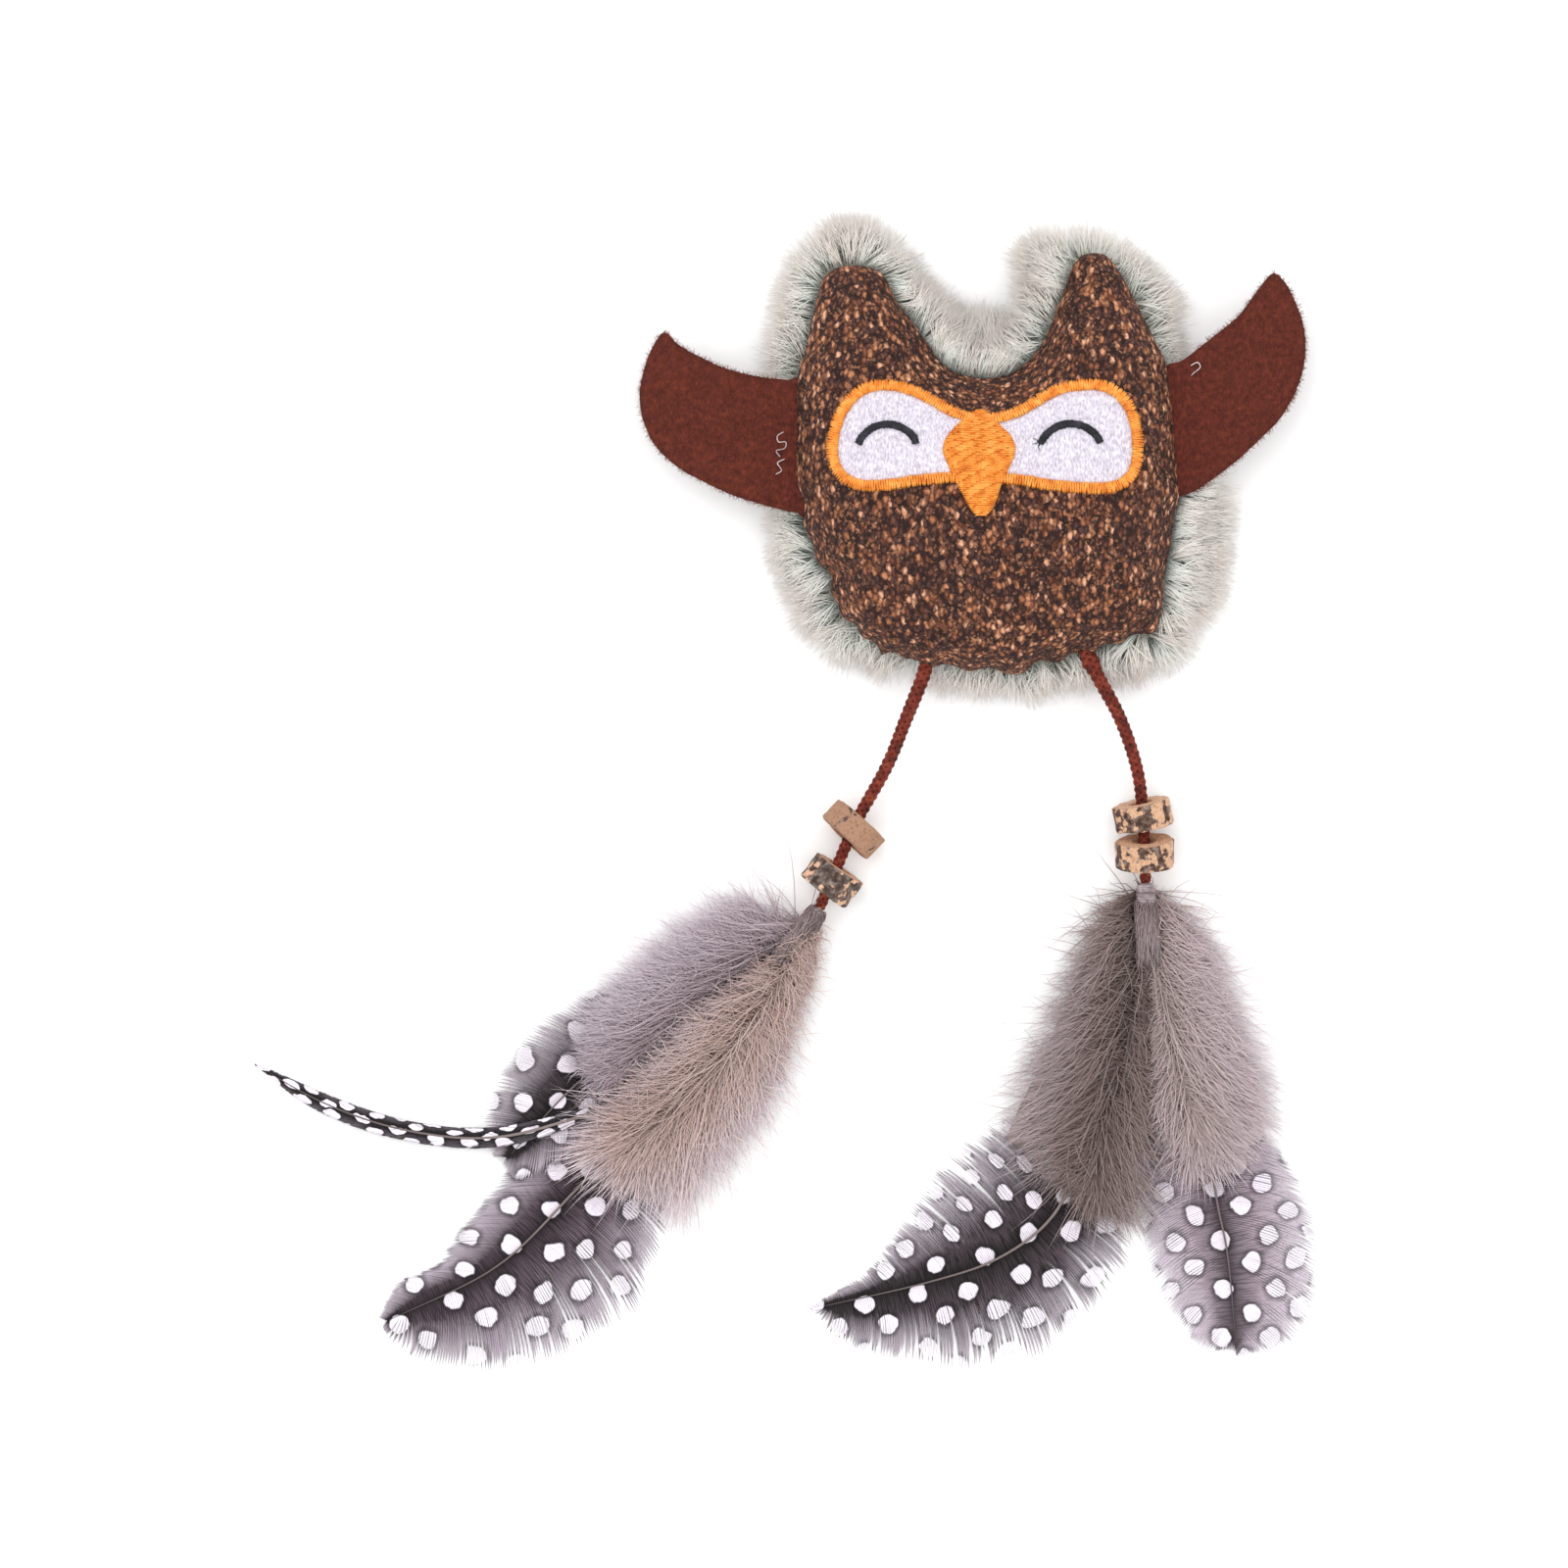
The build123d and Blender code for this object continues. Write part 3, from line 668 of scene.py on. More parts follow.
def around(side: Array, over: Array, angle: Array, away: Array | float) -> Array:
    """Returns offsets round an axis.

    Args:
        side: the direction at angle 0.
        over: the direction at a quarter turn.
        angle: each point's angle.
        away: each point's distance from the axis.

    Returns:
        An offset for each angle.
    """
    return side * (np.cos(angle) * away)[..., None] + over * (np.sin(angle) * away)[..., None]


def strand_values(share: Array | float, odd: Array | float, count: int = 1) -> dict:
    """Returns the strand attribute that a Fibre reads.

    Args:
        share: place along the strand, from 0 at its root to 1 at its tip.
        odd: share of the second shade.
        count: how many points there are, when both are single numbers.

    Returns:
        The vectors, by the attribute's name.
    """
    return {"strand": np.column_stack(np.broadcast_arrays(share, odd, np.zeros(max(count, np.size(share)))))}


def strands(paths: Array, radii: Array, sides: int = 3, flat: float = 1.0, up: Array | None = None) -> tuple:
    """Makes closed tapered strands that end in a point.

    Args:
        paths: (strands, points, 3) in metres.
        radii: (strands, points) in metres; the last is taken as 0.
        sides: corners of the section.
        flat: the section's thickness as a share of its width.
        up: direction of the thickness for a flat section.

    Returns:
        (vertices, faces, share along each strand, index of each vertex's strand).
    """
    count, steps = paths.shape[:2]
    way = unit(np.gradient(paths, axis=1))
    side = unit(np.cross(way, np.array([0.31, 0.17, 0.93]) if up is None else up))
    other = np.cross(side, way) * flat
    angle = np.arange(sides) * 2 * math.pi / sides
    ring = around(side[:, :-1, None], other[:, :-1, None], angle, 1.0)
    body = paths[:, :-1, None, :] + ring * radii[:, :-1, None, None]
    per = (steps - 1) * sides + 1
    vertices = np.concatenate([body.reshape(count, -1, 3), paths[:, -1:, :]], axis=1).reshape(-1, 3)
    start = (np.arange(count) * per)[:, None]
    quads, tips = [], []
    for k in range(steps - 2):
        for s in range(sides):
            n = (s + 1) % sides
            corners = [k * sides + s, k * sides + n, (k + 1) * sides + n, (k + 1) * sides + s]
            quads.append(start + np.array(corners))
    last = (steps - 2) * sides
    for s in range(sides):
        tips.append(start + np.array([last + s, last + (s + 1) % sides, per - 1]))
    base = start + np.arange(sides)[::-1]
    share = np.append(np.repeat(np.linspace(0, 1, steps)[:-1], sides), 1.0)
    faces = [np.concatenate(tips), base]
    if quads:
        faces.append(np.concatenate(quads))
    return vertices, faces, np.tile(share, count), np.repeat(np.arange(count), per)


def tufts(name: str, paths: Array, radii: Array, finish: Finish, rng: Random,
          tone: Array | None = None) -> Object:
    """Makes one piece of many strands, with the strand attribute its finish reads.

    Args:
        name: the piece's name.
        paths: (strands, points, 3) in metres.
        radii: (strands, points) in metres.
        finish: a Fibre.
        rng: gives each strand its share of the second shade.
        tone: each strand's share of the second shade, in place of a random one.

    Returns:
        The object.
    """
    vertices, faces, share, index = strands(paths, radii)
    tone = rng.uniform(0, 1, len(paths)) if tone is None else tone
    return piece(name, vertices, faces, finish, strand_values(share, tone[index]))


def ride(obj: Object, body: str) -> Object:
    """Puts a piece on a body."""
    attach(obj, body)
    log.info("%-28s on %-18s %7d faces", obj.name, body, len(obj.data.polygons))
    return obj


def tube(path: Array, radii: Array | float, sides: int = 8, closed: bool = False, flat: float = 1.0,
         up: tuple = (0.0, 0.0, 1.0)) -> tuple:
    """Sweeps a round or flattened section along a path.

    Args:
        path: points in metres.
        radii: one radius, or one for each point.
        sides: corners of the section.
        closed: whether the path is a ring.
        flat: the section's height as a share of its width.
        up: a direction that the path never takes.

    Returns:
        (vertices, faces).
    """
    path = np.asarray(path, float)
    count = len(path)
    radii = np.broadcast_to(radii, count)
    way = ways_along(path, closed)
    side = unit(np.cross(way, np.array(up)))
    over = np.cross(side, way) * flat
    angle = np.arange(sides) * 2 * math.pi / sides
    ring = around(side[:, None], over[:, None], angle[None], 1.0)
    body = (path[:, None] + ring * radii[:, None, None]).reshape(-1, 3)
    rows = np.arange(count if closed else count - 1)[:, None]
    spots = np.arange(sides)[None]
    after = (rows + 1) % count
    beside = (spots + 1) % sides
    corners = [rows * sides + spots, rows * sides + beside, after * sides + beside, after * sides + spots]
    quads = np.stack(corners, axis=-1).reshape(-1, 4)
    if closed:
        return body, [quads]
    ends = np.vstack([path[0] - way[0] * radii[0] * 0.6, path[-1] + way[-1] * radii[-1] * 0.6])
    ring_ids = np.arange(sides)
    first = np.column_stack([np.roll(ring_ids, -1), ring_ids, np.full(sides, len(body))])
    last = np.column_stack([ring_ids, np.roll(ring_ids, -1), np.full(sides, 0)]) + (count - 1) * sides
    last[:, 2] = len(body) + 1
    return np.vstack([body, ends]), [quads, np.vstack([first, last])]


def joined(parts: Sequence[tuple]) -> tuple:
    """Joins several (vertices, faces) into one.

    Args:
        parts: the pieces.

    Returns:
        (vertices, faces) with the faces grouped by their corner count.
    """
    vertices, groups, start = [], {}, 0
    for points, faces in parts:
        for group in faces if isinstance(faces, list) else [faces]:
            groups.setdefault(group.shape[1], []).append(group + start)
        vertices.append(points)
        start += len(points)
    return np.vstack(vertices), [np.vstack(group) for group in groups.values()]


def inset_loop(loop: Array, step: float) -> Array:
    """Returns a counter-clockwise loop moved inwards by a step."""
    return loop + leftward(ways_along(loop, closed=True)) * step


def ccw(loop: Array) -> Array:
    """Returns a loop in counter-clockwise order."""
    x, y = loop[:, 0], loop[:, 1]
    area = (x * np.roll(y, -1) - np.roll(x, -1) * y).sum()
    return loop if area > 0 else loop[::-1]


def signed_distance(points: Array, loop: Array) -> Array:
    """Returns each point's distance outside a closed loop, less than 0 inside it."""
    return edge_distance(points, loop) * np.where(inside(points, loop), -1, 1)


def scattered(loop: Array, count: int, rng: Random) -> Array:
    """Returns random points inside a loop."""
    low, high = loop.min(0), loop.max(0)
    found = np.zeros((0, 2))
    while len(found) < count:
        tries = rng.uniform(low, high, (count * 2, 2))
        found = np.vstack([found, tries[inside(tries, loop)]])
    return found[:count]


def turned(ways: Array, angle: Array) -> Array:
    """Returns plan directions turned anticlockwise by an angle each."""
    c, s = np.cos(angle), np.sin(angle)
    return np.column_stack([ways[:, 0] * c - ways[:, 1] * s, ways[:, 0] * s + ways[:, 1] * c])


def reach_of(starts: Array, ways: Array, loop: Array) -> Array:
    """Returns how far each start lies from the outline's far side along its direction.

    Args:
        starts: plan points.
        ways: a direction for each.
        loop: the outline.

    Returns:
        Distances in metres; 0 where a start's way never meets the outline.
    """
    a, b = loop, np.roll(loop, -1, 0)
    edge = (b - a)[None]
    gap = a[None] - starts[:, None]
    cross = ways[:, None, 0] * edge[:, :, 1] - ways[:, None, 1] * edge[:, :, 0]
    cross = np.where(np.abs(cross) < 1e-15, 1e-15, cross)
    along = (gap[:, :, 0] * edge[:, :, 1] - gap[:, :, 1] * edge[:, :, 0]) / cross
    share = (gap[:, :, 0] * ways[:, None, 1] - gap[:, :, 1] * ways[:, None, 0]) / cross
    hit = (along > 0) & (share >= 0) & (share <= 1)
    return np.where(hit, along, 0.0).max(1)


def noise_at(points: Array, size: float, seed: float = 0.0) -> Array:
    """Returns smooth noise from -1 to 1 at each point, with features of the given size."""
    lift = Vector((seed, seed * 1.7, seed * 0.3))
    return np.array([noise.noise(Vector((*p[:2], 0.0)) / size + lift) for p in points])


def middle_of(node: str) -> Array:
    """Returns the middle of a CAD node's box."""
    low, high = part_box(node)
    return (np.array(low) + np.array(high)) / 2


def joint_named(name: str) -> dict:
    """Returns a joint of the frame by its name."""
    return next(j for j in frame["record"]["behaviour"]["joints"] if j["name"] == name)


# --- The stuffed body ----------------------------------------------------------------------------


@dataclass
class Surface:
    """The front panel's finished surface, for whatever is sewn on it."""

    tree: BVHTree
    seam_mm: float = 9.6

    def on(self, plan: Array, above: Array | float) -> Array:
        """Puts points over the surface.

        Args:
            plan: x and y in metres.
            above: height over the surface in metres.

        Returns:
            Points in space.
        """
        heights = []
        for x, y in plan:
            hit = self.tree.ray_cast(Vector((x, y, 0.2)), Vector((0, 0, -1)))
            heights.append(hit[0].z if hit[0] is not None else self.seam_mm * MM)
        return np.column_stack([plan, np.array(heights) + above])


@dataclass
class FrontPanel:
    """The printed front: one piece of cloth gathered by its seam and pushed out by the filling."""

    outline: list = field(default_factory=lambda: [
        (-27.2, 32.8), (-24.4, 33.9), (-21.3, 34.0), (-17.5, 32.5), (-15.3, 28.2), (-11.4, 22.9),
        (-7.6, 17.6), (-4.5, 15.7), (0.0, 15.0), (4.7, 16.2), (8.5, 19.8), (10.8, 24.4), (13.2, 30.6),
        (14.2, 33.4), (15.8, 35.7), (19.2, 36.2), (21.7, 34.4), (25.3, 28.2), (29.1, 20.6), (30.8, 16.4),
        (31.8, 7.6), (32.6, -1.6), (32.9, -5.1), (31.9, -9.3), (31.2, -14.6), (30.2, -19.2), (30.1, -23.0),
        (29.3, -27.2), (28.2, -28.9), (24.8, -29.0), (22.6, -30.6), (20.0, -30.5), (17.6, -32.4),
        (15.0, -31.9), (11.8, -33.9), (9.0, -33.3), (6.2, -35.6), (2.8, -35.5), (0.2, -34.6),
        (-3.0, -35.4), (-6.4, -34.0), (-9.6, -34.6), (-12.2, -33.2), (-14.2, -33.2), (-16.0, -31.8),
        (-18.0, -32.6), (-18.9, -30.6), (-21.6, -29.2), (-22.2, -27.4), (-25.0, -25.8), (-25.4, -23.8),
        (-26.9, -21.6), (-26.6, -18.8), (-29.0, -16.6), (-29.8, -13.4), (-31.3, -10.6), (-31.4, -7.2),
        (-32.7, -2.0), (-32.6, 7.6), (-32.4, 15.2), (-30.8, 20.6), (-29.5, 26.7), (-28.5, 30.5)])
    grid_mm: float = 1.15
    cloth_mm: float = 0.5
    pucker_mm: float = 5.4
    small_pucker_mm: float = 3.1
    pucker_depth_mm: float = 0.42
    most_moved_mm: float = 1.5
    frames: int = 24

    def stretch(self, flat: Array, tris: Array, rim: int) -> Array:
        """Finds the height of a skin held at the rim and pushed out evenly.

        Args:
            flat: points of the panel.
            tris: its triangles.
            rim: how many points lie on the rim, which come first.

        Returns:
            Height shares from 0 at the rim to 1 at the top.
        """
        edges = np.vstack([tris[:, [0, 1]], tris[:, [1, 2]], tris[:, [2, 0]]])
        edges = np.vstack([edges, edges[:, ::-1]])
        near = np.bincount(edges[:, 0], minlength=len(flat))
        swollen = np.zeros(len(flat))
        for _ in range(2600):
            around = np.bincount(edges[:, 0], weights=swollen[edges[:, 1]], minlength=len(flat)) / near
            swollen = around + 1e-3
            swollen[:rim] = 0
        return (swollen / swollen.max()) ** 0.5

    def puckered(self, flat: Array, loop: Array) -> Array:
        """Returns how far the gathers along the seam dip each point, in metres."""
        run = run_along(loop)
        nearest = np.array([np.argmin(((loop - p) ** 2).sum(1)) for p in flat])
        away = edge_distance(flat, loop)
        place = run[nearest] + noise_at(flat, 9 * MM, 3.1) * 2.0 * MM
        low = np.clip((-flat[:, 1] / MM - 2) / 22, 0.25, 1.0)
        wave = np.cos(place / (self.pucker_mm * MM) * 2 * math.pi)
        wave = wave + 0.6 * np.cos(place / (self.small_pucker_mm * MM) * 2 * math.pi)
        fade = np.exp(-((away / (4.5 * MM)) ** 1.3)) * rounded(away, 1.2 * MM)
        return wave * fade * self.pucker_depth_mm * MM * low

    def simulate(self, start: Array, tris: Array, rim: int) -> Array:
        """Lets the cloth settle under the filling's push, a hundred times its size.

        Args:
            start: points of the swollen panel.
            tris: its triangles.
            rim: how many points are held by the seam.

        Returns:
            The settled points.
        """
        big = 100.0
        obj = piece("panel_at_rest", start * big, tris, CLOTH)
        group = obj.vertex_groups.new(name="seam")
        group.add(list(range(rim)), 1.0, "REPLACE")
        select_only(obj)
        cloth = obj.modifiers.new("cloth", "CLOTH")
        values = cloth.settings
        values.quality = 6
        values.mass = 0.25
        values.tension_stiffness = values.compression_stiffness = 12
        values.bending_stiffness = 0.35
        values.vertex_group_mass = "seam"
        values.shrink_min = -0.045
        values.use_pressure = True
        values.uniform_pressure_force = 2.2
        values.effector_weights.gravity = 0
        cloth.collision_settings.use_collision = False
        cloth.point_cache.frame_end = self.frames
        for number in range(1, self.frames + 1):
            bpy.context.scene.frame_set(number)
        bpy.ops.object.modifier_apply(modifier="cloth")
        settled = np.empty(len(obj.data.vertices) * 3, np.float32)
        obj.data.vertices.foreach_get("co", settled)
        bpy.context.scene.frame_set(1)
        bpy.data.objects.remove(obj)
        moved = settled.reshape(-1, 3).astype(float) / big - start
        far = np.linalg.norm(moved, axis=1, keepdims=True)
        return start + moved * np.minimum(1, self.most_moved_mm * MM / np.maximum(far, 1e-9))

    def build(self) -> Surface:
        """Makes the panel and covers the CAD front and its filling.

        Returns:
            The surface that the face is sewn on.
        """
        low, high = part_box("front_panel")
        loop = ccw(smooth_loop(self.outline, self.grid_mm))
        flat, tris, rim = filled(loop, self.grid_mm * MM, 5)
        rise = self.stretch(flat, tris, rim) * (high[2] - low[2])
        lumps = noise_at(flat, 16 * MM, 8.0) * 0.45 * MM * np.clip(edge_distance(flat, loop) / (8 * MM), 0, 1)
        start = np.column_stack([flat, low[2] + rise + lumps - self.puckered(flat, loop)])
        start[:rim, 2] = low[2]
        start = self.simulate(start, tris, rim)
        under = start - self.normals(start, tris) * self.cloth_mm * MM
        obj = piece("printed_front_panel", *plate(start, under, tris), CLOTH)
        select_only(obj)
        finer = obj.modifiers.new("finer", "SUBSURF")
        finer.levels = finer.render_levels = 1
        bpy.ops.object.modifier_apply(modifier="finer")
        ride(obj, "torso")
        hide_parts("front_panel", "stuffing")
        polygons = [p.vertices[:] for p in obj.data.polygons]
        return Surface(BVHTree.FromPolygons([v.co[:] for v in obj.data.vertices], polygons))

    def normals(self, points: Array, tris: Array) -> Array:
        """Returns the outward direction at each point."""
        a, b, c = points[tris[:, 0]], points[tris[:, 1]], points[tris[:, 2]]
        face = np.cross(b - a, c - a)
        total = np.zeros_like(points)
        for k in range(3):
            np.add.at(total, tris[:, k], face)
        return unit(total)


@dataclass
class Face:
    """The felt mask with its satin border, the stitched beak and the two closed eyes."""

    surface: Surface
    outer: list = field(default_factory=lambda: [
        (-27.2, 2.6), (-26.6, 6.2), (-25.4, 9.3), (-22.8, 12.4), (-19.5, 13.9), (-15.4, 13.9),
        (-12.0, 12.9), (-9.4, 11.6), (-6.4, 9.9), (-3.8, 8.8), (-1.2, 8.4), (1.4, 8.5), (4.7, 9.5),
        (7.7, 11.2), (11.4, 13.2), (15.2, 14.0), (19.2, 14.0), (22.2, 12.7), (24.5, 10.1), (25.8, 6.3),
        (26.1, 2.6), (25.6, -1.1), (23.7, -3.7), (20.4, -5.0), (15.2, -5.0), (9.6, -4.5), (5.8, -3.8),
        (2.0, -3.5), (-1.4, -3.4), (-5.7, -3.3), (-8.7, -3.5), (-12.8, -3.9), (-16.5, -4.5), (-21.3, -4.6),
        (-24.3, -3.5), (-26.5, -1.1)])
    beak_outline: list = field(default_factory=lambda: [
        (-1.2, 9.2), (-3.6, 7.8), (-5.4, 6.2), (-6.9, 4.4), (-7.6, 2.4), (-6.9, 0.0), (-6.1, -1.8),
        (-5.2, -3.6), (-3.6, -6.6), (-2.4, -8.5), (-1.2, -9.0), (0.1, -8.5), (1.3, -6.4), (2.2, -3.6),
        (3.0, -1.8), (3.9, 0.0), (4.6, 2.4), (3.8, 4.6), (2.2, 6.2), (0.8, 7.9)])
    border_mm: float = 1.9
    thread_mm: float = 0.50
    beak_row_mm: float = 0.34
    eyes: dict = field(default_factory=lambda: {
        "left_eye": [(-22.0, 3.4), (-21.2, 4.7), (-19.4, 6.1), (-17.0, 6.6), (-14.8, 6.1), (-12.8, 4.7),
                     (-12.2, 3.4)],
        "right_eye": [(8.7, 3.4), (9.8, 4.9), (11.6, 6.2), (14.0, 6.7), (16.4, 6.1), (18.2, 4.8),
                      (18.9, 3.6)]})

    def felt(self) -> None:
        """Lays the white felt on the panel."""
        loop = inset_loop(ccw(smooth_loop(self.outer, 0.9)), self.border_mm * 0.45 * MM)
        ground = lambda plan: self.surface.on(plan, 0.0)[:, 2]
        vertices, faces = slab(loop, 0.9 * MM,
                               lambda p, away: ground(p) + 0.05 * MM,
                               lambda p, away: ground(p) + (0.35 + 0.35 * rounded(away, 0.8 * MM)) * MM)
        obj = ride(piece("white_felt_mask", vertices, faces, WHITE_FELT), "torso")
        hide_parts("eye_patch")

    def satin(self, line: Array, width_mm: float, rise_mm: float, base_mm: float, closed: bool,
              rng: Random) -> tuple:
        """Lays close stitches across a line.

        Args:
            line: the middle of the row, in metres.
            width_mm: a stitch's length across the line.
            rise_mm: how far the row stands up in the middle.
            base_mm: the height of what it is sewn on, over the panel.
            closed: whether the line is a ring.
            rng: varies each stitch.

        Returns:
            (vertices, faces).
        """
        way = ways_along(line, closed)
        count = len(line)
        side = leftward(way) + way * rng.uniform(-0.16, 0.16, (count, 1))
        reach = width_mm / 2 * MM * (1 + rng.uniform(-0.10, 0.12, count))
        share = np.linspace(-1, 1, 7)
        plan = line[:, None] + side[:, None] * share[None, :, None] * reach[:, None, None]
        bow = np.sqrt(np.clip(1.04 - share**2, 0, 1))
        above = (base_mm + rise_mm * bow)[None] + rng.uniform(-0.05, 0.05, (count, 1))
        above[:, [0, -1]] = base_mm - 0.15
        points = self.surface.on(plan.reshape(-1, 2), above.reshape(-1) * MM).reshape(count, 7, 3)
        vertices, faces, *_ = strands(points, np.full((count, 7), self.thread_mm * 0.47 * MM), 5)
        return vertices, faces

    def border(self, rng: Random) -> None:
        """Sews the orange border round the mask."""
        loop = inset_loop(ccw(smooth_loop(self.outer, self.thread_mm * 0.86)), self.border_mm / 2 * MM)
        stitches = self.satin(loop, self.border_mm, 0.85, 0.35, True, rng)
        cushion = tube(self.surface.on(loop[::3], 0.42 * MM), self.border_mm * 0.38 * MM, 8, True, 0.62)
        vertices, faces = joined([stitches, cushion])
        obj = ride(piece("orange_satin_border", vertices, faces, ORANGE_THREAD), "torso")
        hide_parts("patch_border")

    def beak(self, rng: Random) -> None:
        """Fills the beak with rows of stitches over a raised base."""
        loop = ccw(smooth_loop(self.beak_outline, 0.6))
        ground = lambda plan: self.surface.on(plan, 0.0)[:, 2]
        crown = lambda away: (0.75 + 0.85 * rounded(away, 3.6 * MM)) * MM
        bottom = lambda p, away: ground(p) + 0.3 * MM
        base = slab(loop, 0.6 * MM, bottom, lambda p, away: ground(p) + crown(away))
        low, high = loop.min(0), loop.max(0)
        rows = []
        for number, y in enumerate(np.arange(low[1] + 0.2 * MM, high[1] - 0.1 * MM, self.beak_row_mm * MM)):
            xs = np.arange(low[0], high[0], 0.1 * MM)
            within = xs[inside(np.column_stack([xs, np.full(len(xs), y)]), loop)]
            if len(within) < 4:
                continue
            ends = [within[0] - 0.12 * MM]
            x = within[0] + (number % 4) * 0.85 * MM + rng.uniform(0.2, 0.7) * MM
            while x < within[-1] - 0.7 * MM:
                ends.append(x)
                x += rng.uniform(2.9, 3.5) * MM
            ends.append(within[-1] + 0.12 * MM)
            for a, b in zip(ends, ends[1:]):
                xs = np.linspace(a, b, 6)
                plan = np.column_stack([xs, np.full(6, y) + rng.uniform(-0.03, 0.03) * MM])
                away = edge_distance(plan, loop)
                bow = np.array([-0.10, 0.13, 0.17, 0.17, 0.13, -0.10]) * MM
                rows.append(self.surface.on(plan, crown(away) + bow))
        fill = strands(np.array(rows), np.full((len(rows), 6), 0.19 * MM), 5)[:2]
        vertices, faces = joined([base, fill])
        obj = ride(piece("orange_stitched_beak", vertices, faces, ORANGE_THREAD), "torso")
        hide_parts("beak")

    def eye_lines(self, rng: Random) -> None:
        """Sews the two closed eyes."""
        for name, points in self.eyes.items():
            line = smooth_line(np.array(points), 0.3) * MM
            taper = self.satin(line, 1.2, 0.42, 0.72, False, rng)
            core = tube(self.surface.on(line, 0.85 * MM), 0.36 * MM, 6, False, 0.6)
            parts = [taper, core]
            if name == "right_eye":
                for turn in (0.4, 1.5, 2.4, 3.2, 3.9, 4.6):
                    reach = rng.uniform(0.8, 1.5) * MM
                    run = np.linspace(0, 1, 5)[:, None]
                    bend = turn + run * rng.uniform(-0.9, 0.9)
                    wisp = line[0] + np.hstack([np.cos(bend), np.sin(bend)]) * run * reach
                    above = (0.85 + 0.1 * math.sin(turn)) * MM
                    parts.append(tube(self.surface.on(wisp, above), 0.055 * MM, 4))
            vertices, faces = joined(parts)
            obj = ride(piece("stitched_" + name, vertices, faces, DARK_THREAD), "torso")
            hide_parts(name)

    def build(self, rng: Random) -> None:
        """Makes the whole face."""
        self.felt()
        self.border(rng)
        self.beak(rng)
        self.eye_lines(rng)


class Band(StrEnum):
    """A band of the pile."""

    INNER = "inner"
    OUTER = "outer"
    SIDE = "side"


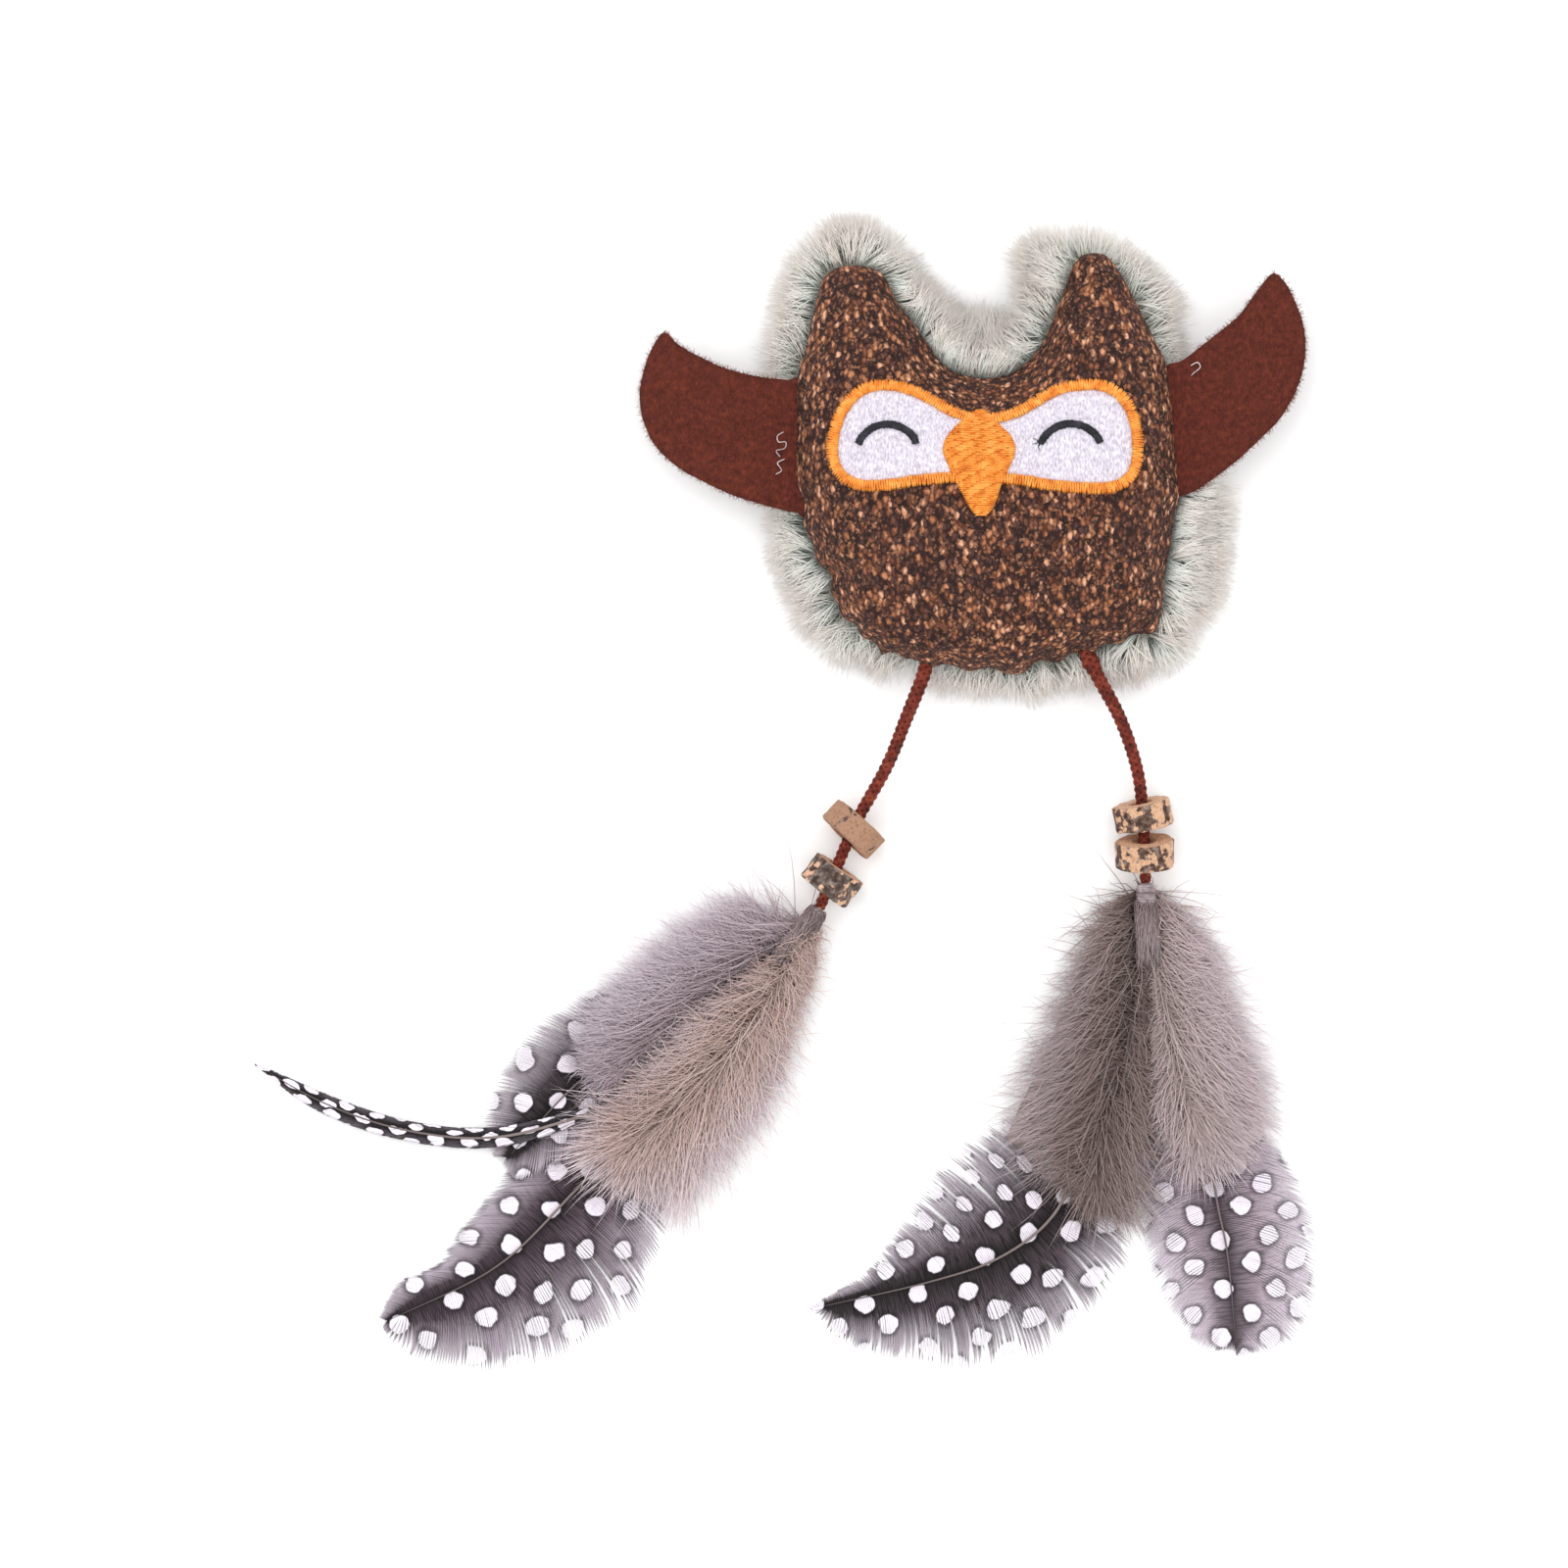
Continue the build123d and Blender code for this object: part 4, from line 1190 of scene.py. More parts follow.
@dataclass
class PlushBack:
    """The back of the body: a knitted backing under the seam and the long pile that grows from it
    and spreads out all round the front panel."""

    seam: list
    wings: list
    outline: list = field(default_factory=lambda: [
        (-37.0, 10.0), (-37.6, 16.8), (-36.7, 24.4), (-35.9, 30.5), (-32.9, 35.9), (-28.3, 39.7),
        (-25.0, 41.8), (-20.6, 42.0), (-16.0, 39.7), (-12.2, 35.9), (-9.1, 32.4), (-6.1, 29.0),
        (-0.7, 26.6), (3.4, 26.4), (4.4, 30.5), (4.6, 34.4), (6.8, 38.2), (12.3, 40.5), (18.4, 40.0),
        (23.0, 38.6), (26.8, 37.0), (29.9, 32.1), (32.2, 26.7), (33.4, 17.5), (36.0, 8.0), (40.2, -2.4),
        (41.8, -10.8), (40.6, -20.8), (37.6, -27.6), (30.7, -34.5), (19.2, -38.3), (7.7, -40.0),
        (0.0, -39.3), (-11.4, -36.8), (-19.1, -35.3), (-26.7, -31.5), (-32.9, -25.3), (-35.9, -19.2),
        (-37.6, -13.9), (-37.3, -5.0), (-36.8, 3.0)])
    fur_mm: float = 6.6
    top_mm: float = 8.2
    tuft_mm: float = 2.1
    under_wing_mm: float = 8.45

    def backing(self) -> None:
        """Makes the knitted backing under the seam."""
        loop = inset_loop(ccw(smooth_loop(self.seam, 1.6)), 0.7 * MM)
        low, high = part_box("back_panel")
        deep = high[2] - low[2] - 1.2 * MM
        bottom = lambda p, away: high[2] - 0.2 * MM - deep * rounded(away, 18 * MM)
        vertices, faces = slab(loop, 1.6 * MM, bottom, lambda p, away: np.full(len(p), high[2] - 0.1 * MM))
        obj = ride(piece("knitted_back_panel", vertices, faces, BACKING), "torso")
        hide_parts("back_panel")

    def ground(self) -> Array:
        """Makes the dense underfur as a low cushion.

        Returns:
            Its outline.
        """
        loop = inset_loop(ccw(smooth_loop(self.outline, 1.3)), self.fur_mm * 0.86 * MM)
        swell = lambda away: 1.6 + (self.top_mm - 1.6) * rounded(away, 4.5 * MM)
        top = lambda p, away: (swell(away) + 0.3 * noise_at(p, 3 * MM)) * MM
        bottom = lambda p, away: (1.5 - 1.2 * rounded(away, 3.0 * MM)) * MM
        vertices, faces = slab(loop, 1.4 * MM, bottom, top)
        # Lower parts of the underfur take more of the darker root colour: painted shade low in the pile.
        share = np.clip(vertices[:, 2] / (self.top_mm * MM), 0, 1) * 0.35
        obj = piece("plush_underfur", vertices, faces, PILE, strand_values(share, 0.5))
        ride(obj, "torso")
        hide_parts("back_pile")
        return loop

    def strand_paths(self, roots: Array, heights: Array, out: Array, rise: Array, length: Array,
                     rng: Random) -> Array:
        """Runs a strand from each root.

        Args:
            roots: x and y of each root.
            heights: z of each root.
            out: the way each strand leans.
            rise: how steeply each strand starts, in metres of rise.
            length: each strand's length.
            rng: varies the strands.

        Returns:
            (strands, 4, 3) points.
        """
        count = len(roots)
        t = np.linspace(0, 1, 4)[None, :, None]
        cross = leftward(out)
        sway = rng.normal(0, 0.16, (count, 1, 1))
        plan = roots[:, None] + out[:, None] * length[:, None, None] * (0.78 * t + 0.22 * t**2)
        plan = plan + cross[:, None] * length[:, None, None] * sway * t**1.7
        z = heights[:, None] + rise[:, None] * t[:, :, 0] - rise[:, None] * 0.72 * t[:, :, 0] ** 2.1
        return np.concatenate([plan, z[:, :, None]], axis=2)

    def roots_of(self, band: Band, loop: Array, seam: Array, count: int, rng: Random) -> tuple:
        """Chooses where a band's strands grow.

        Args:
            band: which band it is.
            loop: the underfur's outline.
            seam: the front panel's outline.
            count: how many strands to try for.
            rng: places the strands.

        Returns:
            (plan points, heights).
        """
        if band is Band.SIDE:
            pick = rng.integers(0, len(loop), count)
            roots = loop[pick] + rng.normal(0, 0.5 * MM, (count, 2))
            return roots, rng.uniform(0.9, self.top_mm - 2.2, count) * MM
        roots = scattered(loop, count * 4, rng)
        away = signed_distance(roots, seam)
        roots = roots[(away > -0.6 * MM) & ((away < 3.4 * MM) ^ (band is Band.OUTER))][:count]
        heights = (1.4 + (self.top_mm - 1.6) * rounded(edge_distance(roots, loop), 4.5 * MM)) * MM
        return roots, heights + 1.1 * MM * np.exp(-((edge_distance(roots, seam) / (1.0 * MM)) ** 2))

    def fur(self, loop: Array, rng: Random) -> None:
        """Grows the pile in three bands: next to the panel, over the rim, and down the side.

        Args:
            loop: the underfur's outline.
            rng: varies the strands.
        """
        seam = ccw(smooth_loop(self.seam, 1.6))
        wings = [ccw(smooth_loop(w, 1.5)) for w in self.wings]
        for band, count in ((Band.INNER, 11800), (Band.OUTER, 11800), (Band.SIDE, 11000)):
            low = band is Band.SIDE
            roots, heights = self.roots_of(band, loop, seam, count, rng)
            count = len(roots)
            leaders = roots[rng.integers(0, count, count // 16)]
            follow = np.array([np.argmin(((leaders - r) ** 2).sum(1)) for r in roots])
            step = 0.4 * MM
            here = signed_distance(leaders, seam)
            slope = [signed_distance(leaders + move, seam) - here for move in ([step, 0], [0, step])]
            slope = np.column_stack(slope)
            swirl = np.column_stack([noise_at(leaders, 7 * MM, seed + low) for seed in (1.0, 6.0)])
            lean = unit(unit(slope) + swirl * 0.8 + rng.normal(0, 0.28, (len(leaders), 2)))
            length = self.fur_mm * MM * (1.0 + 0.28 * noise_at(leaders, 4 * MM, 2.0))
            length = length * rng.uniform(0.9, 1.15, len(leaders))
            centre = leaders + lean * (length * 0.55)[:, None]
            out = unit(lean[follow] + rng.normal(0, 0.13, (count, 2)))
            gather = leaders[follow] - roots
            far = np.maximum(np.linalg.norm(gather, axis=1, keepdims=True), 1e-9)
            gather = gather * np.minimum(1, self.tuft_mm * MM / far)
            own = length[follow] * rng.uniform(0.8, 1.1, count)
            rise = (rng.uniform(0.9, 2.4, count) + (1.2 if band is Band.INNER else 0.2)) * MM
            if low:
                rise = rng.uniform(-1.0, 2.4, count) * MM
            paths = self.strand_paths(roots, heights, out, rise, own, rng)
            pull = (np.linspace(0, 1, 4) ** 1.6)[None, :, None] * 0.55
            paths[:, :, :2] += gather[:, None] * pull
            flat = paths.reshape(-1, 3)
            for wing in wings:
                under = inside(flat[:, :2], wing) | (edge_distance(flat[:, :2], wing) < 0.7 * MM)
                flat[under, 2] = np.minimum(flat[under, 2], self.under_wing_mm * MM)
            flat[:, 2] = np.maximum(flat[:, 2], 0.15 * MM)
            radii = np.array([1.0, 0.95, 0.7, 0.3])[None] * rng.uniform(0.085, 0.135, (count, 1)) * MM
            shade = rng.uniform(-0.35, 0.35, len(leaders))[follow]
            shade = 0.35 + shade + 0.4 * noise_at(centre, 6 * MM, 4.0)[follow]
            tone = np.clip(shade + rng.uniform(-0.15, 0.15, count), 0, 1)
            obj = tufts("plush_" + band, flat.reshape(count, 4, 3), radii, PILE, rng, tone)
            ride(obj, "torso")

    def build(self, rng: Random) -> None:
        """Makes the backing and the pile."""
        self.backing()
        self.fur(self.ground(), rng)


@dataclass
class FeltWing:
    """A wing cut from a sheet of wool felt and caught in the side seam."""

    side: Side
    outline: list
    fuzz: int = 5200
    hair_mm: float = 0.026

    def build(self, rng: Random) -> None:
        """Makes the wing and its fuzz."""
        body = self.side + "_wing"
        low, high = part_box(body)
        loop = ccw(smooth_loop(self.outline, 0.7))
        middle = (low[2] + high[2]) / 2
        thick = (high[2] - low[2]) * 0.44
        sag = lambda p: 0.25 * MM * noise_at(p, 14 * MM, 5.0)
        edge = lambda away: thick * (0.55 + 0.45 * rounded(away, 0.6 * MM))
        tooth = lambda p: 0.05 * MM * noise_at(p, 1.1 * MM, 2.0)
        vertices, faces = slab(loop, 0.8 * MM, lambda p, away: middle + sag(p) - edge(away),
                               lambda p, away: middle + sag(p) + edge(away) + tooth(p))
        obj = piece(self.side + "_felt_wing", vertices, faces, BROWN_FELT)
        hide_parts(body)
        joint = joint_named(body + "_flap")
        x, y, z = joint["pos_m"]
        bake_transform(obj)
        log.info("%-28s blended, %d faces", obj.name, len(obj.data.polygons))
        roots = scattered(loop, self.fuzz, rng)
        rim_roots = loop[rng.integers(0, len(loop), self.fuzz // 3)]
        self.hairs(loop, roots, rim_roots, middle, thick, x, rng)

    def hairs(self, loop: Array, roots: Array, rim_roots: Array, middle: float, thick: float, hinge: float,
              rng: Random) -> None:
        """Adds the fine loose hairs of the felt, beyond the hinge.

        Args:
            loop: the wing's outline.
            roots: where hairs grow on the face.
            rim_roots: where hairs grow on the cut edge.
            middle: height of the wing's middle.
            thick: half its thickness.
            hinge: the hinge's x.
            rng: varies the hairs.
        """
        plan = np.vstack([roots, rim_roots])
        plan = plan[np.abs(plan[:, 0]) > abs(hinge) + 1.4 * MM]
        count = len(plan)
        turn = rng.uniform(0, 2 * math.pi, count)
        out = np.column_stack([np.cos(turn), np.sin(turn)])
        length = rng.uniform(0.4, 1.1, count) * MM
        t = np.linspace(0, 1, 3)
        flat = plan[:, None] + out[:, None] * (length[:, None] * t)[:, :, None]
        away = edge_distance(plan, loop)
        sag = 0.25 * MM * noise_at(plan, 14 * MM, 5.0)
        top = middle + sag + thick * (0.5 + 0.45 * rounded(away, 0.6 * MM))
        z = top[:, None] + np.array([-0.06, 0.10, 0.09])[None] * MM * rng.uniform(0.2, 1.0, (count, 1))
        paths = np.concatenate([flat, z[:, :, None]], axis=2)
        obj = tufts(self.side + "_wing_fuzz", paths, np.full((count, 3), self.hair_mm * MM), FELT_FUZZ, rng)
        ride(obj, self.side + "_wing")


@dataclass
class SewingThreads:
    """Loose ends of the thread that caught a wing."""

    side: Side
    runs: list
    thread_mm: float = 0.20

    def build(self) -> None:
        """Lays each end on the felt."""
        low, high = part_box(self.side + "_wing")
        parts = []
        for run in self.runs:
            line = smooth_line(np.array(run), 0.16) * MM
            wave = np.linspace(0, len(run) * 1.3, len(line))
            z = high[2] + (0.20 + 0.16 * np.sin(wave)) * MM
            z[[0, -1]] -= 0.25 * MM
            parts.append(tube(np.column_stack([line, z]), self.thread_mm / 2 * MM, 5))
        vertices, faces = joined(parts)
        obj = piece(self.side + "_wing_thread", vertices, faces, PALE_THREAD)
        ride(obj, self.side + "_wing")
        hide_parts(self.side + "_wing_tack")


# --- Legs ----------------------------------------------------------------------------------------


@dataclass
class LegCord:
    """A limp braided cord of eight thin strands, from the seam to the tie of its plume."""

    side: Side
    route: list
    beads: list
    diameter_mm: float = 2.2
    plait_mm: float = 5.0
    strand_mm: float = 0.36
    core_mm: float = 0.55
    fold_mm: float = 0.0

    def spline_points(self) -> Array:
        """Reads the cord's smooth line from a NURBS spline along its route.

        Returns:
            Points in metres from the seam to the tie.
        """
        curve = bpy.data.curves.new(self.side + "_route", "CURVE")
        curve.dimensions = "3D"
        spline = curve.splines.new("NURBS")
        spline.points.add(len(self.route) - 1)
        for point, place in zip(spline.points, self.route):
            point.co = (*[c * MM for c in place], 1.0)
        spline.order_u = 3
        spline.use_endpoint_u = True
        spline.resolution_u = 24
        holder = bpy.data.objects.new(self.side + "_route", curve)
        bpy.context.scene.collection.objects.link(holder)
        line = bpy.data.meshes.new_from_object(holder)
        points = np.array([v.co[:] for v in line.vertices], float)
        bpy.data.objects.remove(holder)
        bpy.data.meshes.remove(line)
        return points

    def build(self) -> None:
        path = self.spline_points()
        line = even(path, 0.17 * MM)
        run = run_along(line)
        way = ways_along(line)
        side = unit(np.cross(way, np.array([0, 0, 1.0])))
        over = np.cross(side, way)
        slim = np.interp(run / run[-1], [0, 0.3, 1.0], [1.18, 1.06, 0.92])
        slim = slim + self.fold_mm * np.exp(-(((run - 2.4 * MM) / (1.1 * MM)) ** 2))
        parts = []
        turn = run / (self.plait_mm * MM) * 2 * math.pi
        for hand in (1, -1):
            for number in range(4):
                angle = hand * (turn + number * math.pi / 2)
                lift = (0.66 + hand * 0.10 * np.cos(4 * turn)) * slim * MM
                parts.append(tube(line + around(side, over, angle, lift), self.strand_mm * slim * MM, 6))
        parts.append(tube(line, self.core_mm * slim * MM, 8))
        vertices, faces = joined(parts)
        obj = piece(self.side + "_braided_cord", vertices, faces, CORD_THREAD)
        ride(obj, self.side + "_leg")
        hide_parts(self.side + "_cord")


@dataclass
class SliceBead:
    """A slice of a thin branch with a drilled hole, modelled as a cylinder with inset, bridged and
    bevelled faces."""

    name: str
    across_mm: float
    thick_mm: float
    bore_mm: float
    axis: tuple
    finish: Finish
    seed: float = 0.0
    wedge: float = 0.0

    def choose(self, obj: Object, kind: str, test: Callable) -> None:
        """Selects the faces or edges of the open mesh that pass a test.

        Args:
            obj: the object in edit mode.
            kind: faces or edges.
            test: says whether one is selected.
        """
        bpy.ops.mesh.select_all(action="DESELECT")
        shape = bmesh.from_edit_mesh(obj.data)
        for part in getattr(shape, kind):
            if test(part):
                part.select_set(True)
        bmesh.update_edit_mesh(obj.data)

    def blank(self) -> Object:
        """Models the drilled slice at the origin, its axis up."""
        select_only(None)
        bpy.ops.mesh.primitive_cylinder_add(vertices=36, radius=self.across_mm / 2 * MM,
                                            depth=self.thick_mm * MM, end_fill_type="NGON",
                                            location=(0, 0, 0))
        obj = bpy.context.object
        bpy.ops.object.mode_set(mode="EDIT")
        bpy.ops.mesh.select_mode(type="FACE")
        self.choose(obj, "faces", lambda face: abs(face.normal.z) > 0.9)
        for _ in range(3):
            bpy.ops.mesh.inset(thickness=(self.across_mm - self.bore_mm) / 6 * MM)
        bpy.ops.mesh.bridge_edge_loops(number_cuts=3)
        bpy.ops.mesh.select_mode(type="EDGE")
        rim = self.across_mm / 2 * MM * 0.97
        end = self.thick_mm / 2 * MM * 0.97
        flat = lambda a, b: abs(a.co.z - b.co.z) < 0.1 * MM and abs(a.co.z) > end
        outer = lambda a, b: min(a.co.xy.length, b.co.xy.length) > rim
        self.choose(obj, "edges", lambda edge: flat(*edge.verts) and outer(*edge.verts))
        bpy.ops.mesh.bevel(offset=0.4 * MM, segments=3, profile=0.6)
        bpy.ops.mesh.select_all(action="SELECT")
        bpy.ops.mesh.subdivide(number_cuts=2)
        bpy.ops.mesh.normals_make_consistent(inside=False)
        bpy.ops.object.mode_set(mode="OBJECT")
        return obj

    def build(self) -> Object:
        """Roughens the slice, turns it onto its axis and dresses it.

        Returns:
            The bead, riding on the body of its own name.
        """
        obj = self.blank()
        obj.name = self.name + "_slice"
        points = np.array([v.co[:] for v in obj.data.vertices])
        away = np.hypot(points[:, 0], points[:, 1])
        angle = np.arctan2(points[:, 1], points[:, 0])
        outer = np.clip((away / MM - self.bore_mm / 2) / ((self.across_mm - self.bore_mm) / 2), 0, 1)
        rough = np.array([noise.noise(Vector(p) / (1.5 * MM) + Vector((self.seed, 0, 0))) for p in points])
        round_it = [(a * 3.0, self.seed, z / (6 * MM)) for a, z in zip(angle, points[:, 2])]
        ridge = np.array([noise.noise(Vector(place)) for place in round_it])
        swell = 1 + outer * (0.035 * rough + 0.06 * ridge)
        points[:, :2] *= swell[:, None]
        points[:, 2] *= 1 + 0.05 * rough + self.wedge * points[:, 0] / (self.across_mm * MM)
        rim = np.clip((away / MM - self.across_mm / 2 + 0.45) / 0.3, 0, 1)
        cut = np.column_stack([rim, away / MM, angle * self.across_mm / 2 + self.seed * 10])
        axis = unit(np.array(self.axis, float))
        side = unit(np.cross([0, 0, 1.0], axis))
        points = middle_of(self.name) + points @ np.vstack([side, np.cross(axis, side), axis])
        points[:, 2] = np.maximum(points[:, 2], 0.03 * MM)
        obj.data.vertices.foreach_set("co", points.astype(np.float32).ravel())
        set_vectors(obj.data, "cut", cut)
        obj.data.shade_smooth()
        obj.data.materials.clear()
        obj.data.materials.append(self.finish.make())
        obj.data.update()
        ride(obj, self.name)
        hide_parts(self.name)
        return obj


@dataclass
class ThreadTie:
    """The pale thread wound round the feathers' quills at the end of a cord."""

    side: Side
    along: tuple
    wraps: int = 9
    thread_mm: float = 0.5
    half_mm: float = 1.9
    radius_mm: float = 1.45
    core_mm: float = 1.42

    def axes(self) -> tuple:
        """Returns the tie's middle, its axis, and the two directions across it."""
        axis = unit(np.array([*self.along, 0.0]))
        side = unit(np.cross(axis, [0, 0, 1.0]))
        return middle_of(self.side + "_tie"), axis, side, np.cross(side, axis)

    def build(self, rng: Random) -> None:
        """Winds the thread over a short core."""
        centre, axis, side, over = self.axes()
        half = self.half_mm * MM
        share = np.linspace(0, 1, self.wraps * 26)
        angle = share * self.wraps * 2 * math.pi
        wobble = np.interp(share, np.linspace(0, 1, 40), rng.uniform(-0.14, 0.14, 40)) * MM
        place = (share * 2 - 1) * half + wobble
        swell = self.radius_mm * MM * (1 - 0.12 * np.abs(share * 2 - 1) ** 2)
        path = centre + axis * place[:, None] + around(side, over, angle, swell)
        winding = tube(path, self.thread_mm / 2 * MM, 6, up=tuple(axis))
        ends = np.linspace(-1, 1, 12)
        core = tube(centre + axis * (ends * half)[:, None], self.core_mm * MM, 16)
        vertices, faces = joined([winding, core])
        obj = piece(self.side + "_thread_tie", vertices, faces, TIE_THREAD)
        ride(obj, self.side + "_plume")
        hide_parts(self.side + "_tie")


# --- Plumes --------------------------------------------------------------------------------------


@dataclass
class Feather:
    """A guinea fowl's feather: a tapered shaft and a web of separate barbs on each side.

    Places are in millimetres from the plume's pivot. The edges run from the web's base to its tip.
    """

    name: str
    shaft: list
    left: list
    right: list
    finish: Finish
    start: float = 0.3
    layer_mm: float = 0.55
    barb_mm: float = 0.34
    sweep: float = 0.16
    ragged: float = 0.10
    span: float = 1.05
    seat: tuple = (0.0, 0.0)

    def shaft_line(self, pivot: Array) -> Array:
        """Returns the shaft's line from the tie to the tip, in metres."""
        plan = smooth_line(np.vstack([[0.0, 0.0], self.shaft]), 0.5)
        run = run_along(plan)
        layer = self.layer_mm
        heights = [pivot[2] / MM + self.seat[1], 2.4 + layer * 0.4, layer + 0.1, layer]
        z = np.interp(run, [0, 9.0, 22.0, run[-1]], heights)
        return np.column_stack([plan + np.array(pivot[:2]) / MM, z]) * MM

    def barbs(self, line: Array, edge: list, pivot: Array, hand: int, rng: Random) -> tuple:
        """Runs the barbs of one side from the shaft to the edge.

        Args:
            line: the shaft's line.
            edge: the web's edge on this side.
            pivot: the plume's pivot.
            hand: 1 for the left side, -1 for the right; not used.
            rng: varies the barbs.

        Returns:
            (vertices, faces, lie vectors).
        """
        run = run_along(line)
        length = run[-1]
        begin = self.start * length
        count = int((length - begin) / (self.barb_mm * MM))
        at = np.linspace(begin, length, count)
        roots = np.column_stack([np.interp(at, run, line[:, k]) for k in range(3)])
        ways = unit(np.column_stack([np.interp(at, run, np.gradient(line[:, k])) for k in range(2)]))
        rim = smooth_line(np.array(edge, float), 0.4) * MM + np.array(pivot[:2])
        rim_run = run_along(rim)
        share = (at - begin) / (length - begin)
        forward = share + self.sweep * (1 - share) * np.sqrt(np.clip(share + 0.02, 0, 1))
        knots = np.linspace(0, 1, 26)
        clump = np.interp(share, knots, rng.normal(0, 0.012, 26))
        rim_at = np.clip(forward + clump, 0, 1) * rim_run[-1]
        ends = np.column_stack([np.interp(rim_at, rim_run, rim[:, k]) for k in range(2)])
        torn = rng.uniform(0, 1, count) ** 3
        torn = 1 - self.ragged * (torn + 0.5 * np.interp(share, knots, rng.uniform(0, 1, 26) ** 3))
        ends = roots[:, :2] + (ends - roots[:, :2]) * (self.span * torn)[:, None]
        span = ends - roots[:, :2]
        reach = np.linalg.norm(span, axis=1)
        bend = roots[:, :2] + span * 0.5 - ways * (0.13 * reach)[:, None]
        t = np.linspace(0, 1, 7)[None, :, None]
        plan = (1 - t) ** 2 * roots[:, None, :2] + 2 * t * (1 - t) * bend[:, None] + t**2 * ends[:, None]
        lift = np.interp(share, knots, rng.uniform(0.0, 0.28, 26))[:, None]
        lift = lift + rng.uniform(-0.05, 0.05, (count, 1))
        z = roots[:, None, 2] + (lift * np.sin(t[:, :, 0] * math.pi * 0.8) - 0.12 * t[:, :, 0]) * MM
        paths = np.concatenate([plan, np.maximum(z, 0.12 * MM)[:, :, None]], axis=2)
        width = np.array([0.62, 0.66, 0.66, 0.62, 0.56, 0.45, 0.2])[None] * self.barb_mm * MM
        radii = np.broadcast_to(width, (count, 7)) * rng.uniform(0.85, 1.1, (count, 1))
        vertices, faces, along, index = strands(paths, radii, 4, 0.28, np.array([0, 0, 1.0]))
        root, way = roots[index, :2], ways[index]
        off = vertices[:, :2] - root
        across = (off * leftward(way)).sum(1) / MM
        forth = (at[index] + (off * way).sum(1)) / MM
        return vertices, faces, np.column_stack([across, forth, along])

    def build(self, side: Side, pivot: Array, rng: Random) -> None:
        """Makes the shaft and the web.

        Args:
            side: which plume it is tied into.
            pivot: the plume's pivot.
            rng: varies the barbs.
        """
        body = side + "_plume"
        line = self.shaft_line(pivot)
        share = np.linspace(0, 1, len(line))
        vertices, faces = tube(line, np.interp(share, [0, 0.5, 1], [0.42, 0.30, 0.08]) * MM, 7)
        tint = strand_values(np.append(np.repeat(share, 7), [0, 1]), 0.2)
        shaft = ride(piece(f"{side}_{self.name}_shaft", vertices, faces, SHAFT, tint), body)
        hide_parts(f"{side}_{self.name}_quill")
        webs = [self.barbs(line, edge, pivot, hand, rng) for edge, hand in ((self.left, 1), (self.right, -1))]
        vertices, faces = joined([web[:2] for web in webs])
        lie = np.vstack([web[2] for web in webs])
        web = piece(f"{side}_{self.name}_web", vertices, faces, self.finish, {"lie": lie})
        ride(web, body)
        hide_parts(f"{side}_{self.name}_vane")


